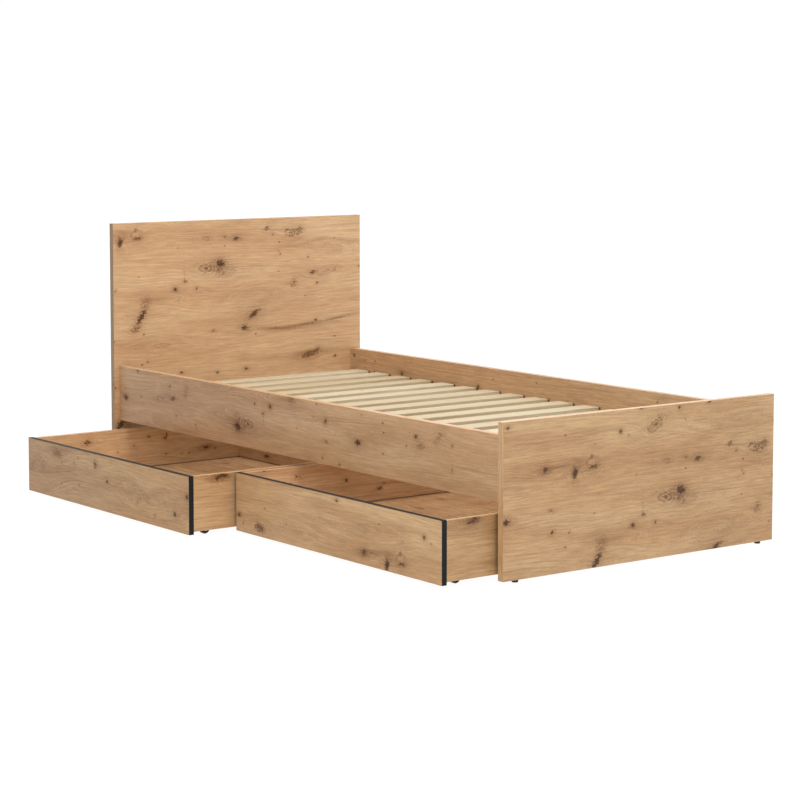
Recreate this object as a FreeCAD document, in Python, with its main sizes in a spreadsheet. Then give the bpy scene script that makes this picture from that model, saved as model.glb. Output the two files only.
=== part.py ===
import FreeCAD, Part
import Sketcher
import os
import re
from FreeCAD import Placement, Rotation, Vector

# A single bed in laminated board with a pine slat deck and two drawers on castors.
# +X runs from the headboard to the footboard, +Y from the drawer side to the far side.
# The drawers stand open as stored: one well out, the other about half as far.

os.makedirs("parts", exist_ok=True)
doc = FreeCAD.newDocument("single_bed")
sheet = doc.addObject("Spreadsheet::Sheet", "sizes")

# Driving sizes in millimetres
driving_sizes = [
    # bed frame
    ("inner_length", 2010, "clear length between headboard and footboard, for a 2 m mattress"),
    ("inner_width", 920, "clear width between the side rails, for a 900 mm mattress"),
    ("board_thick", 22, "headboard and footboard"),
    ("rail_thick", 22, "side rails"),
    ("rail_inset", 20, "rail's outer face inside the headboard's edge"),
    ("headboard_height", 858, "board alone"),
    ("footboard_height", 424, "board alone"),
    ("rail_height", 181, "side rail, top to bottom"),
    ("rail_lift", 204, "rail's bottom above the headboard's bottom"),
    ("edge_round", 1, "rounding of the banded edges"),
    # floor glides
    ("glide_height", 7, "glide's disc, which lifts the boards off the floor"),
    ("glide_radius", 9, "glide's disc"),
    ("glide_bevel", 1, "bevel round the glide's foot"),
    ("glide_inset", 50, "glide's centre from the board's end"),
    ("nail_radius", 1.5, "glide's nail"),
    ("nail_length", 18, "glide's nail above the disc"),
    # slat deck
    ("deck_drop", 71, "slat tops below the rail's top"),
    ("slat_width", 65, "along the bed"),
    ("slat_thick", 18, "slat"),
    ("slat_round", 2, "rounding of the slat's long edges"),
    ("slat_end_gap", 3, "slat's end to the rail"),
    ("slat_head_gap", 47, "headboard to the first slat"),
    ("slat_foot_gap", 74, "last slat to the footboard"),
    ("ledger_thick", 20, "strip that carries the slats"),
    ("ledger_height", 40, "strip that carries the slats"),
    ("ledger_end_gap", 30, "ledger's end to the headboard or footboard"),
    ("ledger_screw_inset", 60, "first screw from the ledger's end"),
    ("tape_width", 25, "webbing tape under the slats"),
    ("tape_thick", 1.5, "webbing tape"),
    ("tape_inset", 120, "tape's edge from the slat's end"),
    # joints between the rails and the two boards
    ("rail_cam_height", 17, "cam for the 22 mm rail"),
    ("rail_cam_drop", 25, "upper cam below the rail's top"),
    ("rail_cam_rise", 35, "lower cam above the rail's bottom"),
    ("rail_dowel_low", 75, "lower dowel above the rail's bottom"),
    ("rail_dowel_high", 115, "upper dowel above the rail's bottom"),
    ("rail_dowel_in_board", 12, "dowel's depth in the headboard or footboard"),
    ("rail_dowel_in_rail", 23, "dowel's depth in the rail"),
    # drawers
    ("drawer_depth", 816, "front's face to the drawer's back"),
    ("front_thick", 16, "drawer front"),
    ("front_height", 172, "drawer front, with its edge band"),
    ("front_lift", 13, "drawer front's bottom above the floor"),
    ("drawer_thick", 16, "drawer's sides, back and bottom"),
    ("side_height", 163, "drawer's sides and back"),
    ("side_lift", 21, "drawer's sides above the floor"),
    ("band_thick", 1, "black edge band"),
    ("drawer_gap", 14, "between the drawers, and from each to the headboard or footboard"),
    ("head_drawer_open", 348, "how far the head-side drawer stands out"),
    ("foot_drawer_open", 195, "how far the foot-side drawer stands out"),
    ("drawer_cam_height", 12.8, "cam for the 16 mm board"),
    ("drawer_cam_drop", 30, "upper cam below the side's top"),
    ("drawer_cam_rise", 25, "lower cam above the drawer's floor"),
    ("drawer_dowel_rise", 65, "corner dowel above the drawer's floor"),
    ("drawer_dowel_in_face", 10, "dowel's depth in the board that it meets face on"),
    ("drawer_dowel_in_edge", 20, "dowel's depth in the board that it enters at the edge"),
    # cam fittings and dowels
    ("cam_radius", 7.5, "cam"),
    ("cam_reach", 24, "cam's centre from the end of its board"),
    ("cam_seat_gap", 0.3, "under the cam"),
    ("cam_back_room", 4.5, "cam's cavity past its centre"),
    ("cam_slot_length", 9, "driver slot"),
    ("cam_slot_width", 1.8, "driver slot"),
    ("cam_slot_depth", 3, "driver slot"),
    ("bolt_thread_radius", 2.5, "cam bolt's thread"),
    ("bolt_thread_length", 11, "cam bolt's thread"),
    ("bolt_radius", 3.5, "cam bolt's shank and head"),
    ("bolt_neck_radius", 2, "cam bolt's neck"),
    ("bolt_neck_length", 4, "cam bolt's neck"),
    ("bolt_head_length", 3, "cam bolt's head"),
    ("bolt_head_past", 2, "bolt's end past the cam's centre"),
    ("bolt_play", 0.2, "round the bolt's head inside the cam"),
    ("dowel_radius", 4, "wooden dowel"),
    ("dowel_bevel", 0.8, "bevel on the dowel's ends"),
    ("hole_end_gap", 0.5, "spare depth past a dowel, bolt or screw"),
    ("hole_play", 0.05, "radial, round a seated fitting"),
    # screws
    ("screw_radius", 2, "wood screw"),
    ("screw_length", 35, "wood screw, under its head and with it"),
    ("screw_head_radius", 4, "wood screw"),
    ("screw_head_height", 2.5, "wood screw"),
    ("screw_tip", 5, "taper of the wood screw's tip"),
    ("castor_screw_radius", 1.75, "castor screw"),
    ("castor_screw_length", 15, "castor screw with its head"),
    ("castor_screw_head_radius", 3.5, "castor screw"),
    ("castor_screw_head_height", 2, "castor screw"),
    ("castor_screw_tip", 3, "taper of the castor screw's tip"),
    # castors
    ("castor_height", 33, "floor to the drawer's bottom panel"),
    ("castor_inset_x", 61, "wheel's centre from the drawer's end"),
    ("castor_inset_y", 89, "axle from the front's face, or from the drawer's back"),
    ("wheel_radius", 15, "tread"),
    ("wheel_width", 15, "tread"),
    ("wheel_round", 2, "rounding of the tread's edges"),
    ("wheel_rim", 4, "rim round the sunk web"),
    ("wheel_hub_radius", 5, "hub"),
    ("wheel_web_depth", 2.5, "how deep the web is sunk on each side"),
    ("axle_radius", 2.5, "axle"),
    ("axle_play", 0.05, "radial, between the axle and the wheel"),
    ("axle_head_radius", 4, "axle's riveted head"),
    ("axle_head_height", 1, "axle's riveted head"),
    ("fork_gap", 1, "wheel to the fork's cheek"),
    ("fork_thick", 1.5, "fork's cheek"),
    ("cheek_radius", 6.5, "rounded end of the cheek"),
    ("plate_thick", 2, "fork's top plate"),
    ("plate_width", 30, "fork's top plate, along the axle"),
    ("plate_length", 52, "fork's top plate, along the drawer's travel"),
    ("plate_screw_inset", 6.5, "screw's centre from the plate's end"),
    # run-out of cutting shapes
    ("cut_overrun", 1, "how far a cutting shape stands out of what it cuts"),
]
slat_count = 16
ledger_screw_count = 7
# where the dowels of a drawer's bottom panel stand along each joint
bottom_dowel_shares = (0.15, 0.5, 0.85)

for row, (alias, number, note) in enumerate(driving_sizes, start=1):
    sheet.set("A%d" % row, note)
    sheet.set("B%d" % row, str(number))
    sheet.setAlias("B%d" % row, alias)
doc.recompute()
sheet_names = {alias for alias, number, note in driving_sizes}

# Places and lengths that follow from the driving sizes
derived = {
    # bed frame, measured from its own corner at the headboard's near edge
    "bed_length": "inner_length + 2 * board_thick",
    "bed_width": "inner_width + 2 * rail_thick + 2 * rail_inset",
    "near_edge": "-(bed_width + rail_inset - head_drawer_open) / 2",
    "head_end": "-bed_length / 2",
    "head_face": "head_end + board_thick",
    "foot_face": "head_face + inner_length",
    "near_rail_outer": "near_edge + rail_inset",
    "near_rail_inner": "near_rail_outer + rail_thick",
    "far_rail_inner": "near_rail_inner + inner_width",
    "rail_bottom": "glide_height + rail_lift",
    "rail_top": "rail_bottom + rail_height",
    # slat deck
    "deck_top": "rail_top - deck_drop",
    "ledger_top": "deck_top - slat_thick",
    "ledger_bottom": "ledger_top - ledger_height",
    "ledger_length": "inner_length - 2 * ledger_end_gap",
    "ledger_screw_pitch": "(ledger_length - 2 * ledger_screw_inset) / %d" % (ledger_screw_count - 1),
    "slat_length": "inner_width - 2 * slat_end_gap",
    "slat_run": "inner_length - slat_head_gap - slat_foot_gap - slat_width",
    "slat_pitch": "slat_run / %d" % (slat_count - 1),
    "slat_start": "near_rail_inner + slat_end_gap",
    "slat_screw_inset": "ledger_thick / 2 - slat_end_gap",
    # fittings
    "cam_pocket_radius": "cam_radius + hole_play",
    "bolt_hole_radius": "bolt_radius + hole_play",
    "thread_hole_radius": "bolt_thread_radius + hole_play",
    "thread_hole_depth": "bolt_thread_length + hole_end_gap",
    "dowel_hole_radius": "dowel_radius + hole_play",
    "screw_hole_radius": "screw_radius + hole_play",
    "screw_head_hole_radius": "screw_head_radius + hole_play",
    "cam_low": "rail_cam_rise",
    "cam_high": "rail_height - rail_cam_drop",
    # drawer, measured from its own corner: the front's face, the head-side end and the floor
    "drawer_length": "(inner_length - 3 * drawer_gap) / 2",
    "floor_top": "castor_height + drawer_thick",
    "side_depth": "drawer_depth - front_thick",
    "clear_length": "drawer_length - 2 * drawer_thick",
    "bottom_depth": "drawer_depth - front_thick - drawer_thick",
    "drawer_cam_low": "floor_top + drawer_cam_rise",
    "drawer_cam_high": "side_lift + side_height - drawer_cam_drop",
    "corner_dowel": "floor_top + drawer_dowel_rise",
    "bottom_middle": "castor_height + drawer_thick / 2",
    "head_drawer_start": "head_face + drawer_gap",
    "foot_drawer_start": "foot_face - drawer_gap - drawer_length",
    "head_drawer_front": "near_rail_outer - head_drawer_open",
    "foot_drawer_front": "near_rail_outer - foot_drawer_open",
    # castors
    "fork_half_gap": "wheel_width / 2 + fork_gap",
    "fork_half_width": "fork_half_gap + fork_thick",
    "axle_length": "2 * fork_half_width + 2 * axle_head_height",
    "castor_screw_hole_radius": "castor_screw_radius + hole_play",
}


def formula(text):
    """Turn the names in a formula into references to the sheet's cells."""
    def swap(match):
        word = match.group(0)
        if word in sheet_names:
            return "sizes." + word
        return "(" + formula(derived[word]) + ")"
    return re.sub(r"[a-z][a-z_]*", swap, text)


def bind(thing, path, text):
    thing.setExpression(path, formula(text))


def place(thing, spot):
    """Bind where a thing stands."""
    for letter, text in zip("xyz", spot):
        bind(thing, "Placement.Base." + letter, text)


nodes = []
cuts = []


def keep(thing, label, spot):
    """Make a thing one of the bed's pieces, standing at a spot."""
    thing.Label = label
    place(thing, spot)
    nodes.append(thing)
    return thing


# Sketches


def plane_of(body, role):
    for feature in body.Origin.OriginFeatures:
        if feature.Role == role:
            return feature
    raise ValueError(role)


def sketch_on(body, name, role, rise="0"):
    """A sketch on one of the body's own planes, raised along the plane's normal."""
    sketch = body.newObject("Sketcher::SketchObject", name)
    sketch.AttachmentSupport = [(plane_of(body, role), "")]
    sketch.MapMode = "FlatFace"
    if rise != "0":
        bind(sketch, "AttachmentOffset.Base.z", rise)
    return sketch


def pin_point(sketch, name, edge, end, across, up):
    """Tie one end of an edge to its place from the sketch's origin."""
    if across == "0":
        sketch.addConstraint(Sketcher.Constraint("PointOnObject", edge, end, -2))
    else:
        point = sketch.getPoint(edge, end)
        tie = Sketcher.Constraint("DistanceX", -1, 1, edge, end, point.x)
        number = sketch.addConstraint(tie)
        sketch.renameConstraint(number, name + "_across")
        bind(sketch, "Constraints." + name + "_across", across)
    if up == "0":
        sketch.addConstraint(Sketcher.Constraint("PointOnObject", edge, end, -1))
    else:
        point = sketch.getPoint(edge, end)
        tie = Sketcher.Constraint("DistanceY", -1, 1, edge, end, point.y)
        number = sketch.addConstraint(tie)
        sketch.renameConstraint(number, name + "_up")
        bind(sketch, "Constraints." + name + "_up", up)


def value(text):
    """What a formula comes to, in millimetres."""
    if text == "0":
        return 0.0
    answer = sheet.evalExpression(formula(text))
    return float(getattr(answer, "Value", answer))


def draw_outline(sketch, points):
    """A closed outline of straight lines through points written as formulas."""
    spots = [Vector(value(across), value(up), 0) for across, up in points]
    for number, spot in enumerate(spots):
        following = spots[(number + 1) % len(spots)]
        sketch.addGeometry(Part.LineSegment(spot, following))
    for number in range(len(points)):
        before = (number - 1) % len(points)
        sketch.addConstraint(Sketcher.Constraint("Coincident", before, 2, number, 1))
    for number, (across, up) in enumerate(points):
        pin_point(sketch, "corner_%d" % number, number, 1, across, up)


def draw_circles(sketch, circles):
    """Circles given by their centres and radii, written as formulas."""
    upright = Vector(0, 0, 1)
    for number, (across, up, radius) in enumerate(circles):
        centre = Vector(value(across), value(up), 0)
        sketch.addGeometry(Part.Circle(centre, upright, value(radius)))
        pin_point(sketch, "circle_%d" % number, number, 3, across, up)
        size = sketch.addConstraint(Sketcher.Constraint("Radius", number, value(radius)))
        sketch.renameConstraint(size, "radius_%d" % number)
        bind(sketch, "Constraints.radius_%d" % number, radius)


# Boards

# For each face of a board: the sketch's plane, the extent of the board that raises it,
# and whether the pocket is turned round to cut into the board
board_faces = {
    "head": ("YZ_Plane", "", True),
    "foot": ("YZ_Plane", "length", False),
    "near": ("XZ_Plane", "", False),
    "far": ("XZ_Plane", "width", True),
    "under": ("XY_Plane", "", True),
    "top": ("XY_Plane", "height", False),
}


def round_edges(body, pad, directions):
    """Round the edges of a plain board that run along the given directions."""
    doc.recompute()
    names = []
    for number, edge in enumerate(pad.Shape.Edges, start=1):
        along = edge.tangentAt(edge.FirstParameter)
        if any(abs(along.dot(direction)) > 0.99 for direction in directions):
            names.append("Edge%d" % number)
    fillet = body.newObject("PartDesign::Fillet", "rounding")
    fillet.Base = (pad, names)
    return fillet


def board(label, extents, spot, rounded=(), radius="edge_round", drillings=()):
    """A board: length along X, width along Y, height along Z, with drilled holes."""
    length, width, height = extents
    reach = {"": "0", "length": length, "width": "-(%s)" % width, "height": height}
    body = doc.addObject("PartDesign::Body", label)
    outline = sketch_on(body, "outline", "XY_Plane")
    corners = [("0", "0"), (length, "0"), (length, width), ("0", width)]
    draw_outline(outline, corners)
    pad = body.newObject("PartDesign::Pad", "pad")
    pad.Profile = outline
    bind(pad, "Length", height)
    if rounded:
        fillet = round_edges(body, pad, rounded)
        bind(fillet, "Radius", radius)
    for number, (face, circles, depth) in enumerate(drillings):
        role, extent, turned_round = board_faces[face]
        sketch = sketch_on(body, "holes_%d" % number, role, reach[extent])
        draw_circles(sketch, circles)
        doc.recompute()
        before = body.Tip.Shape.Volume
        pocket = body.newObject("PartDesign::Pocket", "drilling_%d" % number)
        pocket.Profile = sketch
        pocket.Reversed = turned_round
        bind(pocket, "Length", depth)
        cuts.append((label, pocket, before))
    return keep(body, label, spot)


along_x = Vector(1, 0, 0)
along_y = Vector(0, 1, 0)
along_z = Vector(0, 0, 1)


# Turned pieces and groups of like fittings


def turned(name, points):
    """A solid turned about X from an outline given as distance along and radius."""
    body = doc.addObject("PartDesign::Body", name)
    sketch = sketch_on(body, "profile", "XZ_Plane")
    draw_outline(sketch, points)
    turn = body.newObject("PartDesign::Revolution", "turning")
    turn.Profile = sketch
    turn.ReferenceAxis = (sketch, ["H_Axis"])
    turn.Angle = 360
    return body


def aim(x_axis, z_axis):
    """The rotation that points a fitting's own X and Z along the given axes."""
    return Rotation(x_axis, z_axis.cross(x_axis), z_axis, "XZY")


def group(label, fitting, spots, origin):
    """Copies of one fitting as separate solids in one piece.

    Each spot is three formulas and a rotation, measured from the group's origin.
    """
    copies = []
    for number, (across, along, up, turn) in enumerate(spots):
        copy = doc.addObject("App::Link", "%s_%d" % (label, number))
        copy.LinkedObject = fitting
        copy.Placement = Placement(Vector(), turn)
        place(copy, (across, along, up))
        copies.append(copy)
    together = doc.addObject("Part::Compound", label)
    together.Links = copies
    return keep(together, label, origin)


to_foot = aim(along_x, along_z)
to_head = aim(-along_x, along_z)
to_far = aim(along_y, along_z)
to_near = aim(-along_y, along_z)
to_top = aim(along_z, -along_x)
to_floor = aim(-along_z, along_x)


def pan_screw(name, prefix):
    """A screw with a flat round head, its head's top at zero, pointing along X."""
    radius = prefix + "_radius"
    head = prefix + "_head_radius"
    height = prefix + "_head_height"
    length = prefix + "_length"
    tip = "%s - %s_tip" % (length, prefix)
    points = [("0", "0"), ("0", head), (height, head), (height, radius), (tip, radius), (length, "0")]
    return turned(name, points)


def dowel(name, length):
    """A wooden dowel with bevelled ends, along X from zero."""
    slim = "dowel_radius - dowel_bevel"
    far_bevel = "%s - dowel_bevel" % length
    points = [
        ("0", "0"),
        ("0", slim),
        ("dowel_bevel", "dowel_radius"),
        (far_bevel, "dowel_radius"),
        (length, slim),
        (length, "0"),
    ]
    return turned(name, points)


def cam_bolt(name):
    """A cam bolt along X: thread, shank, neck and head, its collar's face at the thread's end."""
    end = "bolt_thread_length + cam_reach + bolt_head_past"
    neck_end = end + " - bolt_head_length"
    neck_start = neck_end + " - bolt_neck_length"
    points = [
        ("0", "0"),
        ("0", "bolt_thread_radius"),
        ("bolt_thread_length", "bolt_thread_radius"),
        ("bolt_thread_length", "bolt_radius"),
        (neck_start, "bolt_radius"),
        (neck_start, "bolt_neck_radius"),
        (neck_end, "bolt_neck_radius"),
        (neck_end, "bolt_radius"),
        (end, "bolt_radius"),
        (end, "0"),
    ]
    return turned(name, points)


def cutter(kind, name, sizes, spot, turn=Rotation()):
    """A primitive solid with bound sizes and place."""
    solid = doc.addObject("Part::" + kind, name)
    solid.Placement = Placement(Vector(), turn)
    for path, text in sizes.items():
        bind(solid, path, text)
    place(solid, spot)
    return solid


def joined(name, solids):
    whole = doc.addObject("Part::MultiFuse", name)
    whole.Shapes = solids
    return whole


def less(name, base, tool):
    rest = doc.addObject("Part::Cut", name)
    rest.Base = base
    rest.Tool = tool
    return rest


def cam(name, height, board_thickness):
    """A cam standing along Z, slotted on top, open towards X for the bolt's head."""
    disc = cutter("Cylinder", name + "_disc", {"Radius": "cam_radius", "Height": height}, ("0", "0", "0"))
    cavity_sizes = {"Radius": "bolt_radius + bolt_play", "Height": "cam_back_room + cam_radius + cut_overrun"}
    cavity_spot = ("-cam_back_room", "0", "%s - %s / 2" % (height, board_thickness))
    cavity = cutter("Cylinder", name + "_cavity", cavity_sizes, cavity_spot, Rotation(along_y, 90))
    slot_height = "cam_slot_depth + cut_overrun"
    slot_rise = height + " - cam_slot_depth"
    long_sizes = {"Length": "cam_slot_length", "Width": "cam_slot_width", "Height": slot_height}
    long_spot = ("-cam_slot_length / 2", "-cam_slot_width / 2", slot_rise)
    long_slot = cutter("Box", name + "_long_slot", long_sizes, long_spot)
    cross_sizes = {"Length": "cam_slot_width", "Width": "cam_slot_length", "Height": slot_height}
    cross_spot = ("-cam_slot_width / 2", "-cam_slot_length / 2", slot_rise)
    cross_slot = cutter("Box", name + "_cross_slot", cross_sizes, cross_spot)
    tools = joined(name + "_tools", [cavity, long_slot, cross_slot])
    return less(name, disc, tools)


wood_screw = pan_screw("wood_screw", "screw")
castor_screw = pan_screw("castor_screw", "castor_screw")
rail_dowel = dowel("rail_dowel", "(rail_dowel_in_board + rail_dowel_in_rail)")
drawer_dowel = dowel("drawer_dowel", "(drawer_dowel_in_face + drawer_dowel_in_edge)")
bolt = cam_bolt("cam_bolt")
rail_cam = cam("rail_cam", "rail_cam_height", "rail_thick")
drawer_cam = cam("drawer_cam", "drawer_cam_height", "drawer_thick")

# Headboard and footboard, drilled for the rails' bolts and dowels and for the glides' nails


def end_board(label, height, start, inner_face):
    rail_middles = ("rail_inset + rail_thick / 2", "bed_width - rail_inset - rail_thick / 2")
    bolt_rises = ("rail_lift + cam_low", "rail_lift + cam_high")
    dowel_rises = ("rail_lift + rail_dowel_low", "rail_lift + rail_dowel_high")
    bolts = [(y, z, "thread_hole_radius") for y in rail_middles for z in bolt_rises]
    dowels = [(y, z, "dowel_hole_radius") for y in rail_middles for z in dowel_rises]
    glide_places = ("glide_inset", "bed_width - glide_inset")
    nails = [("board_thick / 2", y, "nail_radius + hole_play") for y in glide_places]
    drillings = [
        (inner_face, bolts, "thread_hole_depth"),
        (inner_face, dowels, "rail_dowel_in_board + hole_end_gap"),
        ("under", nails, "nail_length + hole_end_gap"),
    ]
    extents = ("board_thick", "bed_width", height)
    spot = (start, "near_edge", "glide_height")
    return board(label, extents, spot, (along_x, along_y, along_z), drillings=drillings)


end_board("headboard", "headboard_height", "head_end", "foot")
end_board("footboard", "footboard_height", "foot_face", "head")

# Side rails, drilled at both ends, with cam pockets and screw holes in the inner face


def ledger_screw_places():
    """Distances of the ledger's screws from the ledger's end."""
    return ["ledger_screw_inset + %d * ledger_screw_pitch" % number for number in range(ledger_screw_count)]


def side_rail(label, start, inner_face):
    middle = "rail_thick / 2"
    cam_rises = ("cam_low", "cam_high")
    dowel_rises = ("rail_dowel_low", "rail_dowel_high")
    bolts = [(middle, z, "bolt_hole_radius") for z in cam_rises]
    dowels = [(middle, z, "dowel_hole_radius") for z in dowel_rises]
    cams = [(x, z, "cam_pocket_radius") for x in ("cam_reach", "inner_length - cam_reach") for z in cam_rises]
    ledger_middle = "ledger_bottom + ledger_height / 2 - rail_bottom"
    screws = [("ledger_end_gap + " + x, ledger_middle, "screw_hole_radius") for x in ledger_screw_places()]
    dowel_depth = "rail_dowel_in_rail + hole_end_gap"
    screw_depth = "screw_length - ledger_thick + hole_end_gap"
    drillings = [
        ("head", bolts, "cam_reach + bolt_head_past + hole_end_gap"),
        ("foot", bolts, "cam_reach + bolt_head_past + hole_end_gap"),
        ("head", dowels, dowel_depth),
        ("foot", dowels, dowel_depth),
        (inner_face, cams, "rail_cam_height + cam_seat_gap"),
        (inner_face, screws, screw_depth),
    ]
    extents = ("inner_length", "rail_thick", "rail_height")
    spot = ("head_face", start, "rail_bottom")
    return board(label, extents, spot, (along_x,), drillings=drillings)


side_rail("near_side_rail", "near_rail_outer", "far")
side_rail("far_side_rail", "far_rail_inner", "near")

# Slat ledgers, screwed to the rails, with a hole at each end for the slat's screw


def slat_ledger(label, start, inner_face):
    middle = "ledger_height / 2"
    shanks = [(x, middle, "screw_hole_radius") for x in ledger_screw_places()]
    heads = [(x, middle, "screw_head_hole_radius") for x in ledger_screw_places()]
    first_slat = "slat_head_gap + slat_width / 2 - ledger_end_gap"
    last_slat = first_slat + " + slat_run"
    slat_holes = [(x, "ledger_thick / 2", "screw_hole_radius") for x in (first_slat, last_slat)]
    drillings = [
        (inner_face, shanks, "ledger_thick + cut_overrun"),
        (inner_face, heads, "screw_head_height"),
        ("top", slat_holes, "screw_length - slat_thick + hole_end_gap"),
    ]
    extents = ("ledger_length", "ledger_thick", "ledger_height")
    spot = ("head_face + ledger_end_gap", start, "ledger_bottom")
    return board(label, extents, spot, drillings=drillings)


slat_ledger("near_slat_ledger", "near_rail_inner", "far")
slat_ledger("far_slat_ledger", "far_rail_inner - ledger_thick", "near")

# Slats, the first and last drilled for a screw near each end

slat_ends = ("slat_screw_inset", "slat_length - slat_screw_inset")
for number in range(slat_count):
    holes = []
    if number in (0, slat_count - 1):
        shanks = [("slat_width / 2", y, "screw_hole_radius") for y in slat_ends]
        heads = [("slat_width / 2", y, "screw_head_hole_radius") for y in slat_ends]
        holes = [("top", shanks, "slat_thick + cut_overrun"), ("top", heads, "screw_head_height")]
    slat_spot = ("head_face + slat_head_gap + %d * slat_pitch" % number, "slat_start", "ledger_top")
    slat_extents = ("slat_width", "slat_length", "slat_thick")
    board("slat_%02d" % (number + 1), slat_extents, slat_spot, (along_y,), "slat_round", holes)

# Webbing tapes under the slats

tape_sizes = {"Length": "slat_run + slat_width", "Width": "tape_width", "Height": "tape_thick"}
far_tape_start = "slat_length - 2 * tape_inset - tape_width"
near_tape = cutter("Box", "near_tape", tape_sizes, ("0", "0", "0"))
far_tape = cutter("Box", "far_tape", tape_sizes, ("0", far_tape_start, "0"))
tapes = doc.addObject("Part::Compound", "slat_tapes")
tapes.Links = [near_tape, far_tape]
keep(tapes, "slat_tapes", ("head_face + slat_head_gap", "slat_start + tape_inset", "ledger_top - tape_thick"))

# The frame's screws, measured from the corner between the near rail and the headboard

ledger_middle_rise = "ledger_bottom + ledger_height / 2"
screw_spots = []
for screw_place in ledger_screw_places():
    across = "ledger_end_gap + " + screw_place
    screw_spots.append((across, "ledger_thick", ledger_middle_rise, to_near))
    screw_spots.append((across, "inner_width - ledger_thick", ledger_middle_rise, to_far))
for slat_middle in ("slat_head_gap + slat_width / 2", "slat_head_gap + slat_width / 2 + slat_run"):
    screw_spots.append((slat_middle, "ledger_thick / 2", "deck_top", to_floor))
    screw_spots.append((slat_middle, "inner_width - ledger_thick / 2", "deck_top", to_floor))
inner_corner = ("head_face", "near_rail_inner", "0")
group("wood_screws", wood_screw, screw_spots, inner_corner)

# Cam bolts, cams and dowels between the rails and the two boards

bolt_spots = []
cam_spots = []
dowel_spots = []
near_middle = "-rail_thick / 2"
far_middle = "inner_width + rail_thick / 2"
for rise in ("rail_bottom + cam_low", "rail_bottom + cam_high"):
    for middle in (near_middle, far_middle):
        bolt_spots.append(("-bolt_thread_length", middle, rise, to_foot))
        bolt_spots.append(("inner_length + bolt_thread_length", middle, rise, to_head))
    for end, pointing in (("cam_reach", -along_x), ("inner_length - cam_reach", along_x)):
        cam_spots.append((end, "-rail_cam_height", rise, aim(pointing, along_y)))
        cam_spots.append((end, "inner_width + rail_cam_height", rise, aim(pointing, -along_y)))
for rise in ("rail_bottom + rail_dowel_low", "rail_bottom + rail_dowel_high"):
    for middle in (near_middle, far_middle):
        dowel_spots.append(("-rail_dowel_in_board", middle, rise, to_foot))
        dowel_spots.append(("inner_length + rail_dowel_in_board", middle, rise, to_head))
group("rail_cam_bolts", bolt, bolt_spots, inner_corner)
group("rail_cams", rail_cam, cam_spots, inner_corner)
group("rail_dowels", rail_dowel, dowel_spots, inner_corner)

# Nail-on floor glides under the headboard and the footboard

glide_profile = [
    ("0", "0"),
    ("0", "glide_radius - glide_bevel"),
    ("glide_bevel", "glide_radius"),
    ("glide_height", "glide_radius"),
    ("glide_height", "nail_radius"),
    ("glide_height + nail_length", "nail_radius"),
    ("glide_height + nail_length", "0"),
]
floor_glide = turned("floor_glide", glide_profile)
glide_spots = []
for across in ("board_thick / 2", "bed_length - board_thick / 2"):
    for along in ("glide_inset", "bed_width - glide_inset"):
        glide_spots.append((across, along, "0", to_top))
group("floor_glides", floor_glide, glide_spots, ("head_end", "near_edge", "0"))

# Castor fork: a plate with two cheeks, its corner over the floor, its wheel between the cheeks


def castor_fork():
    plate_sizes = {"Length": "plate_width", "Width": "plate_length", "Height": "plate_thick"}
    solids = [cutter("Box", "fork_plate", plate_sizes, ("0", "0", "castor_height - plate_thick"))]
    cheek_height = "castor_height - plate_thick - wheel_radius"
    cheek_sizes = {"Length": "fork_thick", "Width": "2 * cheek_radius", "Height": cheek_height}
    end_sizes = {"Radius": "cheek_radius", "Height": "fork_thick"}
    inner_sides = ("plate_width / 2 - fork_half_width", "plate_width / 2 + fork_half_gap")
    for side in inner_sides:
        cheek_spot = (side, "plate_length / 2 - cheek_radius", "wheel_radius")
        solids.append(cutter("Box", "fork_cheek", cheek_sizes, cheek_spot))
        end_spot = (side, "plate_length / 2", "wheel_radius")
        solids.append(cutter("Cylinder", "fork_cheek_end", end_sizes, end_spot, Rotation(along_y, 90)))
    axle_sizes = {"Radius": "axle_radius + hole_play", "Height": "plate_width + 2 * cut_overrun"}
    axle_spot = ("-cut_overrun", "plate_length / 2", "wheel_radius")
    tools = [cutter("Cylinder", "fork_axle_hole", axle_sizes, axle_spot, Rotation(along_y, 90))]
    screw_sizes = {"Radius": "castor_screw_hole_radius", "Height": "plate_thick + 2 * cut_overrun"}
    for along in ("plate_screw_inset", "plate_length - plate_screw_inset"):
        screw_spot = ("plate_width / 2", along, "castor_height - plate_thick - cut_overrun")
        tools.append(cutter("Cylinder", "fork_screw_hole", screw_sizes, screw_spot))
    return less("castor_fork", joined("fork_blank", solids), joined("fork_holes", tools))


fork = castor_fork()

axle_profile = [
    ("0", "0"),
    ("0", "axle_head_radius"),
    ("axle_head_height", "axle_head_radius"),
    ("axle_head_height", "axle_radius"),
    ("axle_length - axle_head_height", "axle_radius"),
    ("axle_length - axle_head_height", "axle_head_radius"),
    ("axle_length", "axle_head_radius"),
    ("axle_length", "0"),
]
axle = turned("castor_axle", axle_profile)


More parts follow.
